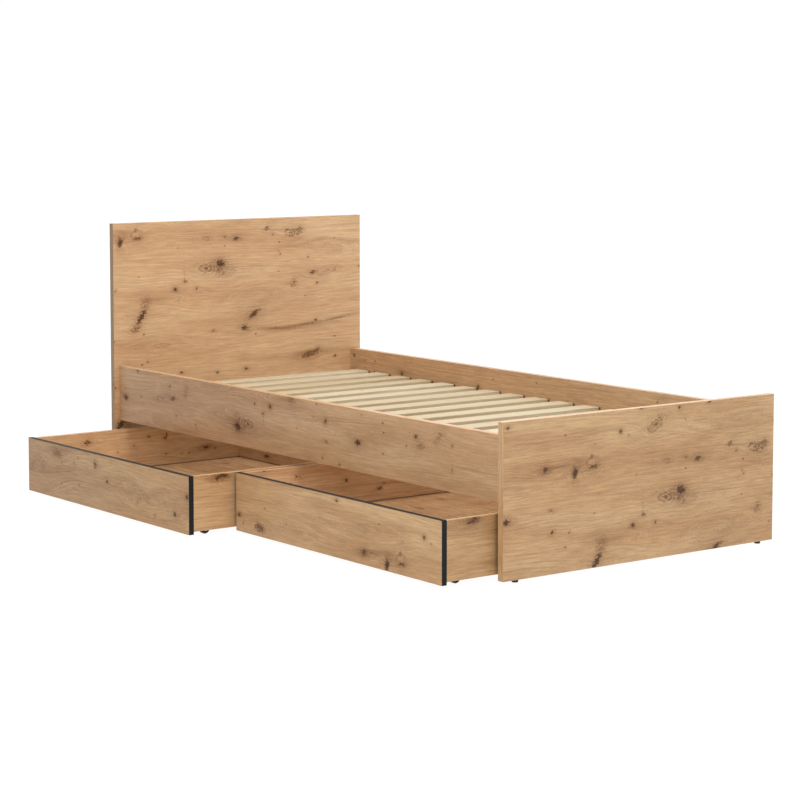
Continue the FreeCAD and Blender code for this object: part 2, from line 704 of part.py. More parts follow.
def wheel(label, spot):
    """A wheel about X through its own origin, with a sunk web on each side."""
    body = doc.addObject("PartDesign::Body", label)
    tread = sketch_on(body, "tread", "YZ_Plane")
    draw_circles(tread, [("0", "0", "wheel_radius"), ("0", "0", "axle_radius + axle_play")])
    pad = body.newObject("PartDesign::Pad", "pad")
    pad.Profile = tread
    bind(pad, "Length", "wheel_width")
    doc.recompute()
    limit = value("wheel_radius - wheel_rim / 2")
    rims = []
    for number, edge in enumerate(pad.Shape.Edges, start=1):
        if isinstance(edge.Curve, Part.Circle) and edge.Curve.Radius > limit:
            rims.append("Edge%d" % number)
    fillet = body.newObject("PartDesign::Fillet", "rounding")
    fillet.Base = (pad, rims)
    bind(fillet, "Radius", "wheel_round")
    for number, (rise, along) in enumerate((("0", True), ("wheel_width", False))):
        ring = sketch_on(body, "web_%d" % number, "YZ_Plane", rise)
        draw_circles(ring, [("0", "0", "wheel_radius - wheel_rim"), ("0", "0", "wheel_hub_radius")])
        doc.recompute()
        before = body.Tip.Shape.Volume
        pocket = body.newObject("PartDesign::Pocket", "web_pocket_%d" % number)
        pocket.Profile = ring
        pocket.Reversed = along
        bind(pocket, "Length", "wheel_web_depth")
        cuts.append((label, pocket, before))
    return keep(body, label, spot)


# Drawers


def front_board(name, at):
    """The front's core board, inside its edge bands, drilled on its back face."""
    sides = ("drawer_thick / 2 - band_thick", "drawer_length - drawer_thick / 2 - band_thick")
    cam_rises = ("drawer_cam_low - front_lift", "drawer_cam_high - front_lift")
    bolts = [(x, z, "thread_hole_radius") for x in sides for z in cam_rises]
    dowels = [(x, "corner_dowel - front_lift", "dowel_hole_radius") for x in sides]
    for share in bottom_dowel_shares:
        across = "drawer_thick - band_thick + %g * clear_length" % share
        dowels.append((across, "bottom_middle - front_lift", "dowel_hole_radius"))
    drillings = [
        ("far", bolts, "thread_hole_depth"),
        ("far", dowels, "drawer_dowel_in_face + hole_end_gap"),
    ]
    extents = ("drawer_length - 2 * band_thick", "front_thick", "front_height - band_thick")
    return board(name + "_front", extents, at("band_thick", "0", "front_lift"), drillings=drillings)


def edge_bands(name, at):
    """Three black strips: one along the front's top, over one at each end."""
    end_sizes = {"Length": "band_thick", "Width": "front_thick", "Height": "front_height - band_thick"}
    top_sizes = {"Length": "drawer_length", "Width": "front_thick", "Height": "band_thick"}
    head_band = cutter("Box", name + "_head_band", end_sizes, ("0", "0", "0"))
    foot_band = cutter("Box", name + "_foot_band", end_sizes, ("drawer_length - band_thick", "0", "0"))
    top_band = cutter("Box", name + "_top_band", top_sizes, ("0", "0", "front_height - band_thick"))
    bands = doc.addObject("Part::Compound", name + "_edge_bands")
    bands.Links = [head_band, foot_band, top_band]
    return keep(bands, name + "_edge_bands", at("0", "0", "front_lift"))


def side_panel(label, at, start, inner_face):
    """A drawer side, drilled for the front, the back and the bottom."""
    middle = "drawer_thick / 2"
    cam_rises = ("drawer_cam_low - side_lift", "drawer_cam_high - side_lift")
    bolts = [(middle, z, "bolt_hole_radius") for z in cam_rises]
    cams = [("cam_reach", z, "cam_pocket_radius") for z in cam_rises]
    back_middle = "side_depth - drawer_thick / 2"
    back_bolts = [(back_middle, z, "thread_hole_radius") for z in cam_rises]
    corner = "corner_dowel - side_lift"
    face_dowels = [(back_middle, corner, "dowel_hole_radius")]
    for share in bottom_dowel_shares:
        face_dowels.append(("%g * bottom_depth" % share, "bottom_middle - side_lift", "dowel_hole_radius"))
    drillings = [
        ("near", bolts, "cam_reach + bolt_head_past + hole_end_gap"),
        ("near", [(middle, corner, "dowel_hole_radius")], "drawer_dowel_in_edge + hole_end_gap"),
        (inner_face, cams, "drawer_cam_height + cam_seat_gap"),
        (inner_face, back_bolts, "thread_hole_depth"),
        (inner_face, face_dowels, "drawer_dowel_in_face + hole_end_gap"),
    ]
    extents = ("drawer_thick", "side_depth", "side_height")
    return board(label, extents, at(start, "front_thick", "side_lift"), (along_y,), drillings=drillings)


def back_panel(name, at):
    """The drawer's back, between its sides, with cam pockets on its rear face."""
    middle = "drawer_thick / 2"
    cam_rises = ("drawer_cam_low - side_lift", "drawer_cam_high - side_lift")
    bolts = [(middle, z, "bolt_hole_radius") for z in cam_rises]
    cams = [(x, z, "cam_pocket_radius") for x in ("cam_reach", "clear_length - cam_reach") for z in cam_rises]
    corner = [(middle, "corner_dowel - side_lift", "dowel_hole_radius")]
    drillings = [
        ("head", bolts, "cam_reach + bolt_head_past + hole_end_gap"),
        ("foot", bolts, "cam_reach + bolt_head_past + hole_end_gap"),
        ("head", corner, "drawer_dowel_in_edge + hole_end_gap"),
        ("foot", corner, "drawer_dowel_in_edge + hole_end_gap"),
        ("far", cams, "drawer_cam_height + cam_seat_gap"),
    ]
    extents = ("clear_length", "drawer_thick", "side_height")
    spot = at("drawer_thick", "drawer_depth - drawer_thick", "side_lift")
    return board(name + "_back", extents, spot, (along_x,), drillings=drillings)


castor_rows = (("front", "castor_inset_y"), ("back", "drawer_depth - castor_inset_y"))
castor_columns = (("head", "castor_inset_x"), ("foot", "drawer_length - castor_inset_x"))
plate_screws = ("plate_screw_inset - plate_length / 2", "plate_length / 2 - plate_screw_inset")


def bottom_panel(name, at):
    """The drawer's floor, drilled at its edges for dowels and below for the castors' screws."""
    middle = "drawer_thick / 2"
    side_dowels = []
    front_dowels = []
    for share in bottom_dowel_shares:
        side_dowels.append(("%g * bottom_depth" % share, middle, "dowel_hole_radius"))
        front_dowels.append(("%g * clear_length" % share, middle, "dowel_hole_radius"))
    screws = []
    for row_name, along in castor_rows:
        for column_name, across in castor_columns:
            for offset in plate_screws:
                x = across + " - drawer_thick"
                y = "%s - front_thick + %s" % (along, offset)
                screws.append((x, y, "castor_screw_hole_radius"))
    screw_depth = "castor_screw_length - castor_screw_head_height - plate_thick + hole_end_gap"
    dowel_depth = "drawer_dowel_in_edge + hole_end_gap"
    drillings = [
        ("head", side_dowels, dowel_depth),
        ("foot", side_dowels, dowel_depth),
        ("near", front_dowels, dowel_depth),
        ("under", screws, screw_depth),
    ]
    extents = ("clear_length", "bottom_depth", "drawer_thick")
    spot = at("drawer_thick", "front_thick", "castor_height")
    return board(name + "_bottom", extents, spot, drillings=drillings)


def drawer_fittings(name, origin):
    """The drawer's cams, cam bolts and dowels."""
    cam_places = []
    bolt_places = []
    dowel_places = []
    back_middle = "drawer_depth - drawer_thick / 2"
    ends = (
        ("drawer_thick / 2", "drawer_thick", "+", along_x, to_foot),
        ("drawer_length - drawer_thick / 2", "drawer_length - drawer_thick", "-", -along_x, to_head),
    )
    for middle, inner, sign, inwards, turn in ends:
        outwards = "-" if sign == "+" else "+"
        for rise in ("drawer_cam_low", "drawer_cam_high"):
            seat = "%s %s drawer_cam_height" % (inner, outwards)
            cam_places.append((seat, "front_thick + cam_reach", rise, aim(-along_y, inwards)))
            reach = "%s %s cam_reach" % (inner, sign)
            cam_places.append((reach, "drawer_depth - drawer_cam_height", rise, aim(-inwards, along_y)))
            bolt_places.append((middle, "front_thick - bolt_thread_length", rise, to_far))
            thread = "%s %s bolt_thread_length" % (inner, outwards)
            bolt_places.append((thread, back_middle, rise, turn))
        sunk = "%s %s drawer_dowel_in_face" % (inner, outwards)
        dowel_places.append((middle, "front_thick - drawer_dowel_in_face", "corner_dowel", to_far))
        dowel_places.append((sunk, back_middle, "corner_dowel", turn))
        for share in bottom_dowel_shares:
            dowel_places.append((sunk, "front_thick + %g * bottom_depth" % share, "bottom_middle", turn))
    for share in bottom_dowel_shares:
        across = "drawer_thick + %g * clear_length" % share
        dowel_places.append((across, "front_thick - drawer_dowel_in_face", "bottom_middle", to_far))
    group(name + "_cams", drawer_cam, cam_places, origin)
    group(name + "_cam_bolts", bolt, bolt_places, origin)
    group(name + "_dowels", drawer_dowel, dowel_places, origin)


def drawer_castors(name, origin, at):
    """Four fixed castors under the bottom panel: forks, screws, axles and wheels."""
    fork_places = []
    screw_places = []
    axle_places = []
    screw_rise = "castor_height - plate_thick - castor_screw_head_height"
    for row_name, along in castor_rows:
        for column_name, across in castor_columns:
            corner = (across + " - plate_width / 2", along + " - plate_length / 2")
            fork_places.append(corner + ("0", Rotation()))
            for offset in plate_screws:
                screw_places.append((across, "%s + %s" % (along, offset), screw_rise, to_top))
            axle_places.append((across + " - axle_length / 2", along, "wheel_radius", to_foot))
            wheel_spot = at(across + " - wheel_width / 2", along, "wheel_radius")
            wheel("%s_%s_%s_wheel" % (name, row_name, column_name), wheel_spot)
    group(name + "_castor_forks", fork, fork_places, origin)
    group(name + "_castor_screws", castor_screw, screw_places, origin)
    group(name + "_castor_axles", axle, axle_places, origin)


def drawer(name, start, front):
    """One drawer, its front's face at the given place along Y."""
    def at(across, along, up):
        return ("%s + %s" % (start, across), "%s + %s" % (front, along), up)
    origin = (start, front, "0")
    front_board(name, at)
    edge_bands(name, at)
    side_panel(name + "_head_side", at, "0", "foot")
    side_panel(name + "_foot_side", at, "drawer_length - drawer_thick", "head")
    back_panel(name, at)
    bottom_panel(name, at)
    drawer_fittings(name, origin)
    drawer_castors(name, origin, at)


drawer("head_drawer", "head_drawer_start", "head_drawer_front")
drawer("foot_drawer", "foot_drawer_start", "foot_drawer_front")

# Everything has to be up to date, valid and cut where a hole is drawn

doc.recompute()
for thing in doc.Objects:
    if "Invalid" in thing.State or "Error" in thing.State:
        raise RuntimeError("%s is %s" % (thing.Label, thing.State))
for label, pocket, before in cuts:
    if pocket.Shape.Volume >= before:
        raise RuntimeError("a pocket in %s cuts nothing" % label)
for node in nodes:
    if node.Shape.isNull() or not node.Shape.isValid():
        raise RuntimeError("%s has no valid shape" % node.Label)

for node in nodes:
    node.Shape.exportStep("parts/%s.step" % node.Label)
whole = Part.Compound([node.Shape for node in nodes])
box = whole.BoundBox
print("%d pieces, %d solids" % (len(nodes), len(whole.Solids)))
print("box %.1f %.1f %.1f to %.1f %.1f %.1f" % (box.XMin, box.YMin, box.ZMin, box.XMax, box.YMax, box.ZMax))
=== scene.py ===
import bpy
import bmesh
import math
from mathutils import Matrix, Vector


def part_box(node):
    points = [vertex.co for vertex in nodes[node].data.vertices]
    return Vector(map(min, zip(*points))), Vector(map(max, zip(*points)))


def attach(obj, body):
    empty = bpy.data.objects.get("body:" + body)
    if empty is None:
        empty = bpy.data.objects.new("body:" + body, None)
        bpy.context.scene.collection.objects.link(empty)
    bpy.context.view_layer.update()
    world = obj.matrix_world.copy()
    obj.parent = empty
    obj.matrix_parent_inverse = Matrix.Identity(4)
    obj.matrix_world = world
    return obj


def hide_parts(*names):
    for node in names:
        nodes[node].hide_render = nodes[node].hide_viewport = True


# looks for a single bed in printed oak board, with a pine slat deck and two drawers on castors

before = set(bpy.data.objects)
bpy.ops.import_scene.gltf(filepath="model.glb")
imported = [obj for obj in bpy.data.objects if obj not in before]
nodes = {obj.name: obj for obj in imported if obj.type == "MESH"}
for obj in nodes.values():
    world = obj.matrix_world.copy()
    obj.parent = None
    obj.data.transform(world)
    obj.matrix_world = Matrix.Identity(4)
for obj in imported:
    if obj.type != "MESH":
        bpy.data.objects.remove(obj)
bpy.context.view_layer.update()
print("frame loaded, %d nodes" % len(nodes))

cameraLook = {
    "place": (5.70293, -4.17402, 1.27367),
    "turn": 0.92854,  # radians from looking along +Y
    "dip": 0.08772,  # radians below the horizon
    "lens": 104.846,
    "sensor": 36,
    "shift": -0.12,
    "clip": (0.05, 200),
}

cameraData = bpy.data.cameras.new("camera")
cameraData.sensor_width = cameraLook["sensor"]
cameraData.lens = cameraLook["lens"]
cameraData.shift_y = cameraLook["shift"]
cameraData.clip_start, cameraData.clip_end = cameraLook["clip"]
camera = bpy.data.objects.new("camera", cameraData)
camera.location = cameraLook["place"]
camera.rotation_euler = (math.pi / 2 - cameraLook["dip"], 0, cameraLook["turn"])
bpy.context.scene.collection.objects.link(camera)
bpy.context.scene.camera = camera
print("camera placed")


# short words for the shader nodes used most

class Shader:
    def __init__(self, tree):
        self.tree = tree

    def feed(self, socket, source):
        if isinstance(source, bpy.types.NodeSocket):
            self.tree.links.new(source, socket)
        else:
            socket.default_value = source

    def put(self, kind, feeds, **settings):
        node = self.tree.nodes.new("ShaderNode" + kind)
        for name, setting in settings.items():
            setattr(node, name, setting)
        for name, source in feeds.items():
            self.feed(node.inputs[name], source)
        return node

    def math(self, operation, *sources, clamp=False):
        feeds = dict(enumerate(sources))
        return self.put("Math", feeds, operation=operation, use_clamp=clamp).outputs[0]

    def vectorMath(self, operation, *sources):
        node = self.put("VectorMath", dict(enumerate(sources)), operation=operation)
        return node.outputs["Value" if operation in ("LENGTH", "DOT_PRODUCT") else "Vector"]

    def spread(self, factor, low, high, toLow=0.0, toHigh=1.0):
        feeds = {"Value": factor, "From Min": low, "From Max": high, "To Min": toLow, "To Max": toHigh}
        return self.put("MapRange", feeds, interpolation_type="SMOOTHSTEP").outputs[0]

    def mix(self, factor, first, second, blend="MIX"):
        node = self.put("Mix", {0: factor, 6: first, 7: second}, data_type="RGBA", blend_type=blend)
        return node.outputs[2]

    def stretched(self, point, scales):
        return self.vectorMath("MULTIPLY", point, scales)

    def noise(self, point, scales, detail=2.0, rough=0.5):
        feeds = {"Vector": self.stretched(point, scales), "Scale": 1.0, "Detail": detail, "Roughness": rough}
        return self.put("TexNoise", feeds, noise_dimensions="3D").outputs[0]

    def layer(self, point, look):
        # noise with its own stretch, spread from the taken range to the given one
        value = self.noise(point, look["scales"], look.get("detail", 2.0), look.get("rough", 0.5))
        return self.spread(value, *look["taken"], *look.get("given", (0.0, 1.0)))

    def spots(self, point, cells, squash):
        # scattered spots: how far each place is from the nearest one's middle, and that one's own chance
        feeds = {"Vector": self.stretched(point, cells), "Scale": 1.0}
        cell = self.put("TexVoronoi", feeds, voronoi_dimensions="3D", feature="F1")
        middle = self.stretched(cell.outputs["Position"], tuple(1 / part for part in cells))
        away = self.stretched(self.vectorMath("SUBTRACT", point, middle), (squash, 1.0, 0.0))
        return self.vectorMath("LENGTH", away), self.split(cell.outputs["Color"])[0]

    def tint(self, colour, tone):
        return self.mix(1.0, colour, tone, "MULTIPLY")

    def split(self, vector):
        return self.put("SeparateXYZ", {"Vector": vector}).outputs

    def join(self, across, along, depth=0.0):
        return self.put("CombineXYZ", {"X": across, "Y": along, "Z": depth}).outputs[0]


def newGroup(name, takes, gives):
    tree = bpy.data.node_groups.new(name, "ShaderNodeTree")
    for label, kind in takes:
        tree.interface.new_socket(label, in_out="INPUT", socket_type="NodeSocket" + kind)
    for label, kind in gives:
        tree.interface.new_socket(label, in_out="OUTPUT", socket_type="NodeSocket" + kind)
    shader = Shader(tree)
    entry = tree.nodes.new("NodeGroupInput").outputs
    finish = tree.nodes.new("NodeGroupOutput").inputs
    return shader, entry, finish


def useGroup(shader, name, feeds):
    node = shader.put("Group", {}, node_tree=bpy.data.node_groups[name])
    for label, source in feeds.items():
        shader.feed(node.inputs[label], source)
    return node.outputs


def rgb(red, green, blue):
    # a colour as a picture shows it, for a shader
    channels = []
    for part in (red, green, blue):
        part = part / 255
        channels.append(part / 12.92 if part <= 0.04045 else ((part + 0.055) / 1.055) ** 2.4)
    return tuple(channels) + (1.0,)


def newMaterial(name):
    material = bpy.data.materials.new(name)
    material.use_nodes = True
    tree = material.node_tree
    for node in list(tree.nodes):
        tree.nodes.remove(node)
    return material, Shader(tree)


def finishMaterial(shader, colour, roughness, height=None, depth=0.0003, **fixed):
    feeds = {"Base Color": colour, "Roughness": roughness}
    feeds.update({name.replace("_", " "): number for name, number in fixed.items()})
    if height is not None:
        bump = shader.put("Bump", {"Height": height, "Strength": 1.0, "Distance": depth})
        feeds["Normal"] = bump.outputs[0]
    surface = shader.put("BsdfPrincipled", feeds)
    output = shader.put("OutputMaterial", {})
    shader.tree.links.new(surface.outputs[0], output.inputs[0])


def dress(names, material):
    for name in names:
        for slot in nodes[name].material_slots:
            slot.link = "OBJECT"
            slot.material = material


# the printed oak foil: one print, cut for each board at its own place

foil = {
    "pale": rgb(196, 161, 124),
    "mid": rgb(184, 144, 106),
    "deep": rgb(163, 121, 85),
    "line": rgb(136, 98, 67),
    "middle": rgb(180, 141, 104),  # the print's mean
    "halo": rgb(108, 66, 31),
    "sap": rgb(222, 190, 152),  # pale wood beside a knot
    "core": rgb(82, 51, 28),
    "slate": rgb(64, 42, 25),
    "wander": 0.1,  # metres from one extreme of a growth line's bends to the other
    "wanderScales": (0.9, 3.2, 1.0),
    "ripple": 0.010,
    "rippleScales": (5.0, 22.0, 1.0),
    # growth lines and fine grain: how many in a metre, how soon they change along the grain, roughness
    "lines": (70.0, 0.35, 0.62),
    "fine": (420.0, 2.5, 0.6),
    "thinLines": (0.50, 0.30),
    "lightLines": (0.55, 0.75, 0.0, 0.28),
    "fineGrain": (0.32, 0.68, 0.90, 1.07),
    "poreShade": 0.30,
    "roughness": 0.24,
    "gloss": 0.3,
    "poreRough": 0.12,
    "fineRough": 0.06,
    "emboss": (14.0, 650.0, 1.0),
    "embossShare": 0.5,
    "poreShare": -0.6,
    "relief": 0.0004,
    "pinCells": (9.0, 17.0, 1.0),  # cells in a metre that may hold a pin knot
    "pinChance": (0.72, 0.94),
    "pinSize": 0.0021,
    "pinLeast": 0.0001,
    "pinSquash": 0.7,
    "pinDark": 0.9,
    "pinHalo": (3.5, 0.8, 0.0, 0.30),
}

# layers of the print, from broad tone to pores: stretch along and across the grain, and range
printLayers = {
    "broad": {"scales": (1.1, 7.0, 1.0), "detail": 3.0, "rough": 0.55, "taken": (0.34, 0.66)},
    "patch": {"scales": (2.6, 15.0, 1.0), "detail": 3.0, "rough": 0.6,
              "taken": (0.44, 0.72), "given": (0.0, 0.52)},
    "presence": {"scales": (1.8, 11.0, 2.0), "taken": (0.35, 0.68), "given": (0.12, 0.54)},
    "streaks": {"scales": (15.0, 165.0, 1.0), "detail": 4.0, "rough": 0.7,
                "taken": (0.32, 0.68), "given": (0.86, 1.12)},
    "dashes": {"scales": (15.0, 380.0, 3.0), "detail": 3.0, "rough": 0.6,
               "taken": (0.57, 0.70), "given": (0.0, 0.40)},
    "pores": {"scales": (55.0, 1400.0, 1.0), "taken": (0.60, 0.72)},
}

# a knot's shape, in parts of its own half length and half width
knotShape = {
    "bendFall": 0.22,  # how soon the grain runs straight again
    "skew": (2.2, 1.4, 0.0),
    "arcRate": 10.0,
    "arcEnds": (2.2, 0.8),
    "haloFall": 0.9,
    "coreEdge": (1.45, 0.60),
    "leastSwirl": 0.1,
    "trace": 1e-7,
}

# how halo and core show over the growth lines and a mottle of their own
knotShades = {
    "mottle": (90.0, 190.0, 1.0),
    "mottleRough": 0.55,
    "haloOnLines": (0.75, 0.30, 0.6, 1.3),
    "haloMottled": (0.35, 0.62, 0.85, 1.15),
    "haloMost": 0.8,
    "arcsOnFine": (0.54, 0.36, 0.25, 1.0),
    "arcsOnLines": (0.52, 0.34),
    "ringsMottled": (0.36, 0.60, 0.6, 1.3),
    "solidCore": (0.55, 0.80),
    "solidMottled": (0.22, 0.50, 0.8, 1.0),
    "slateCore": (0.75, 1.0),
    "slateMottled": (0.45, 0.60, 0.0, 0.8),
}


def makeKnotGroup():
    takes = [
        ("Point", "Vector"), ("Centre", "Vector"), ("Tilt", "Vector"), ("Size", "Vector"),
        ("Dark", "Float"), ("Swirl", "Float"), ("Bend", "Float"), ("Halo", "Float"), ("Core", "Float"),
    ]
    shader, entry, finish = newGroup("oakKnot", takes, takes[6:] + takes[:1])
    feeds = {"Vector": entry["Point"], "Location": entry["Centre"]}
    feeds.update({"Rotation": entry["Tilt"], "Scale": entry["Size"]})
    local = shader.put("Mapping", feeds, vector_type="TEXTURE").outputs[0]
    square = shader.vectorMath("DOT_PRODUCT", local, local)
    radius = shader.math("SQRT", square)
    near = shader.math("EXPONENT", shader.math("MULTIPLY", square, -knotShape["bendFall"]))
    offset = shader.split(shader.vectorMath("SUBTRACT", entry["Point"], entry["Centre"]))[1]
    width = shader.math("MULTIPLY", shader.split(entry["Size"])[1], entry["Swirl"])
    rings = shader.math("MULTIPLY", radius, width)
    bend = shader.math("SUBTRACT", shader.math("SUBTRACT", rings, offset), entry["Bend"])
    bend = shader.math("MULTIPLY", near, bend)

    # arcs lie closer on one side of the knot than on the other
    skew = shader.vectorMath("DOT_PRODUCT", local, knotShape["skew"])
    arcs = shader.math("SINE", shader.math("MULTIPLY_ADD", radius, knotShape["arcRate"], skew))
    arcs = shader.math("MULTIPLY", arcs, shader.spread(radius, *knotShape["arcEnds"]))
    arcs = shader.math("MULTIPLY_ADD", arcs, entry["Swirl"], 1.0)
    fall = shader.math("EXPONENT", shader.math("MULTIPLY", radius, -knotShape["haloFall"]))
    halo = shader.math("MULTIPLY", shader.math("MULTIPLY", entry["Dark"], fall), arcs)

    # a vein or a pale patch has no swirl, and no core
    cored = shader.math("GREATER_THAN", entry["Swirl"], knotShape["leastSwirl"])
    core = shader.math("MULTIPLY", entry["Dark"], cored)
    core = shader.math("MULTIPLY", core, shader.spread(radius, *knotShape["coreEdge"]))
    core = shader.math("MAXIMUM", entry["Core"], core)
    shader.feed(finish["Bend"], shader.math("ADD", entry["Bend"], bend))
    shader.feed(finish["Halo"], shader.math("ADD", entry["Halo"], halo))
    shader.feed(finish["Core"], core)
    shader.feed(finish["Point"], traced(shader, core, halo, bend, entry["Point"]))


def traced(shader, core, halo, bend, point):
    # a vanishing share of a knot goes on with the place, so that the knots are worked out one by one
    trace = shader.join(core, halo, bend)
    share = knotShape["trace"]
    return shader.vectorMath("MULTIPLY_ADD", trace, (share, share, 0.0), point)


def makeOakGroup():
    takes = [
        ("Point", "Vector"), ("Bend", "Float"), ("Halo", "Float"), ("Core", "Float"), ("Contrast", "Float"),
    ]
    gives = [("Colour", "Color"), ("Roughness", "Float"), ("Height", "Float")]
    shader, entry, finish = newGroup("oakFoil", takes, gives)
    point = entry["Point"]
    along, across, sheet = shader.split(point)

    # growth lines follow a field that rises across the board and is bent by the knots
    stray = shader.math("SUBTRACT", shader.noise(point, foil["wanderScales"]), 0.5)
    ripple = shader.math("SUBTRACT", shader.noise(point, foil["rippleScales"], 3.0), 0.5)
    field = shader.math("MULTIPLY_ADD", stray, foil["wander"], across)
    field = shader.math("MULTIPLY_ADD", ripple, foil["ripple"], field)
    field = shader.math("ADD", field, entry["Bend"])

    def growth(rate, change, rough):
        spaced = shader.math("MULTIPLY", field, rate)
        wave = shader.join(spaced, shader.math("MULTIPLY", along, change), sheet)
        feeds = {"Vector": wave, "Scale": 1.0, "Detail": 3.0, "Roughness": rough}
        return shader.put("TexNoise", feeds, noise_dimensions="3D").outputs[0]

    lines = growth(*foil["lines"])
    fine = growth(*foil["fine"])

    # broad tone, then the lines where they come and go, then fibre and pores
    colour = shader.mix(shader.layer(point, printLayers["broad"]), foil["mid"], foil["pale"])
    colour = shader.mix(shader.layer(point, printLayers["patch"]), colour, foil["deep"])
    presence = shader.layer(point, printLayers["presence"])
    thin = shader.spread(lines, *foil["thinLines"])
    colour = shader.mix(shader.math("MULTIPLY", thin, presence), colour, foil["line"])
    light = shader.spread(lines, *foil["lightLines"])
    colour = shader.mix(light, colour, foil["pale"])
    grain = shader.spread(fine, *foil["fineGrain"])
    shade = shader.math("MULTIPLY", grain, shader.layer(point, printLayers["streaks"]))
    colour = shader.tint(colour, shader.join(shade, shade, shade))
    colour = shader.mix(shader.layer(point, printLayers["dashes"]), colour, foil["line"])
    pores = shader.layer(point, printLayers["pores"])
    colour = shader.mix(shader.math("MULTIPLY", pores, foil["poreShade"]), colour, foil["line"])

    # some boards show the print's grain more strongly than others
    feeds = {0: entry["Contrast"], 6: foil["middle"], 7: colour}
    colour = shader.put("Mix", feeds, data_type="RGBA", clamp_factor=False).outputs[2]

    # pin knots, small and dark, in some of their cells
    reach, chance = shader.spots(point, foil["pinCells"], foil["pinSquash"])
    pinSize = shader.spread(chance, *foil["pinChance"], 0.0, foil["pinSize"])
    pin = shader.math("MULTIPLY", shader.math("LESS_THAN", reach, pinSize), foil["pinDark"])
    ratio = shader.math("DIVIDE", reach, shader.math("ADD", pinSize, foil["pinLeast"]))
    pinHalo = shader.spread(ratio, *foil["pinHalo"])

    # the knots' brown halo, or the pale wood that stands for it where the darkness is negative
    mottle = shader.noise(point, knotShades["mottle"], 2.0, knotShades["mottleRough"])
    halo = shader.math("MULTIPLY", entry["Halo"], shader.spread(lines, *knotShades["haloOnLines"]))
    halo = shader.math("MULTIPLY", halo, shader.spread(mottle, *knotShades["haloMottled"]))
    sap = shader.math("MULTIPLY", halo, -1.0, clamp=True)
    colour = shader.mix(sap, colour, foil["sap"])
    halo = shader.math("MAXIMUM", halo, pinHalo)
    colour = shader.mix(shader.math("MINIMUM", halo, knotShades["haloMost"]), colour, foil["halo"])

    # their dark core, ringed where it is weak and solid where it is strong, and its darker middle
    arcs = shader.spread(fine, *knotShades["arcsOnFine"])
    arcs = shader.math("MAXIMUM", arcs, shader.spread(lines, *knotShades["arcsOnLines"]))
    rings = shader.math("MULTIPLY", arcs, shader.spread(mottle, *knotShades["ringsMottled"]))
    solid = shader.spread(entry["Core"], *knotShades["solidCore"])
    filled = shader.math("SUBTRACT", shader.spread(mottle, *knotShades["solidMottled"]), rings)
    filled = shader.math("MULTIPLY_ADD", solid, filled, rings)
    core = shader.math("MULTIPLY", entry["Core"], filled)
    core = shader.math("MAXIMUM", core, pin, clamp=True)
    slate = shader.spread(entry["Core"], *knotShades["slateCore"])
    slate = shader.math("MULTIPLY", slate, shader.spread(mottle, *knotShades["slateMottled"]))
    colour = shader.mix(core, colour, shader.mix(slate, foil["core"], foil["slate"]))

    shader.feed(finish["Colour"], colour)
    rough = shader.math("MULTIPLY_ADD", pores, foil["poreRough"], foil["roughness"])
    shader.feed(finish["Roughness"], shader.math("MULTIPLY_ADD", fine, foil["fineRough"], rough))
    # the foil is embossed with pores and fibre only, so the knots stay out of the bump
    emboss = shader.math("MULTIPLY", shader.noise(point, foil["emboss"]), foil["embossShare"])
    shader.feed(finish["Height"], shader.math("MULTIPLY_ADD", pores, foil["poreShare"], emboss))


makeKnotGroup()
makeOakGroup()

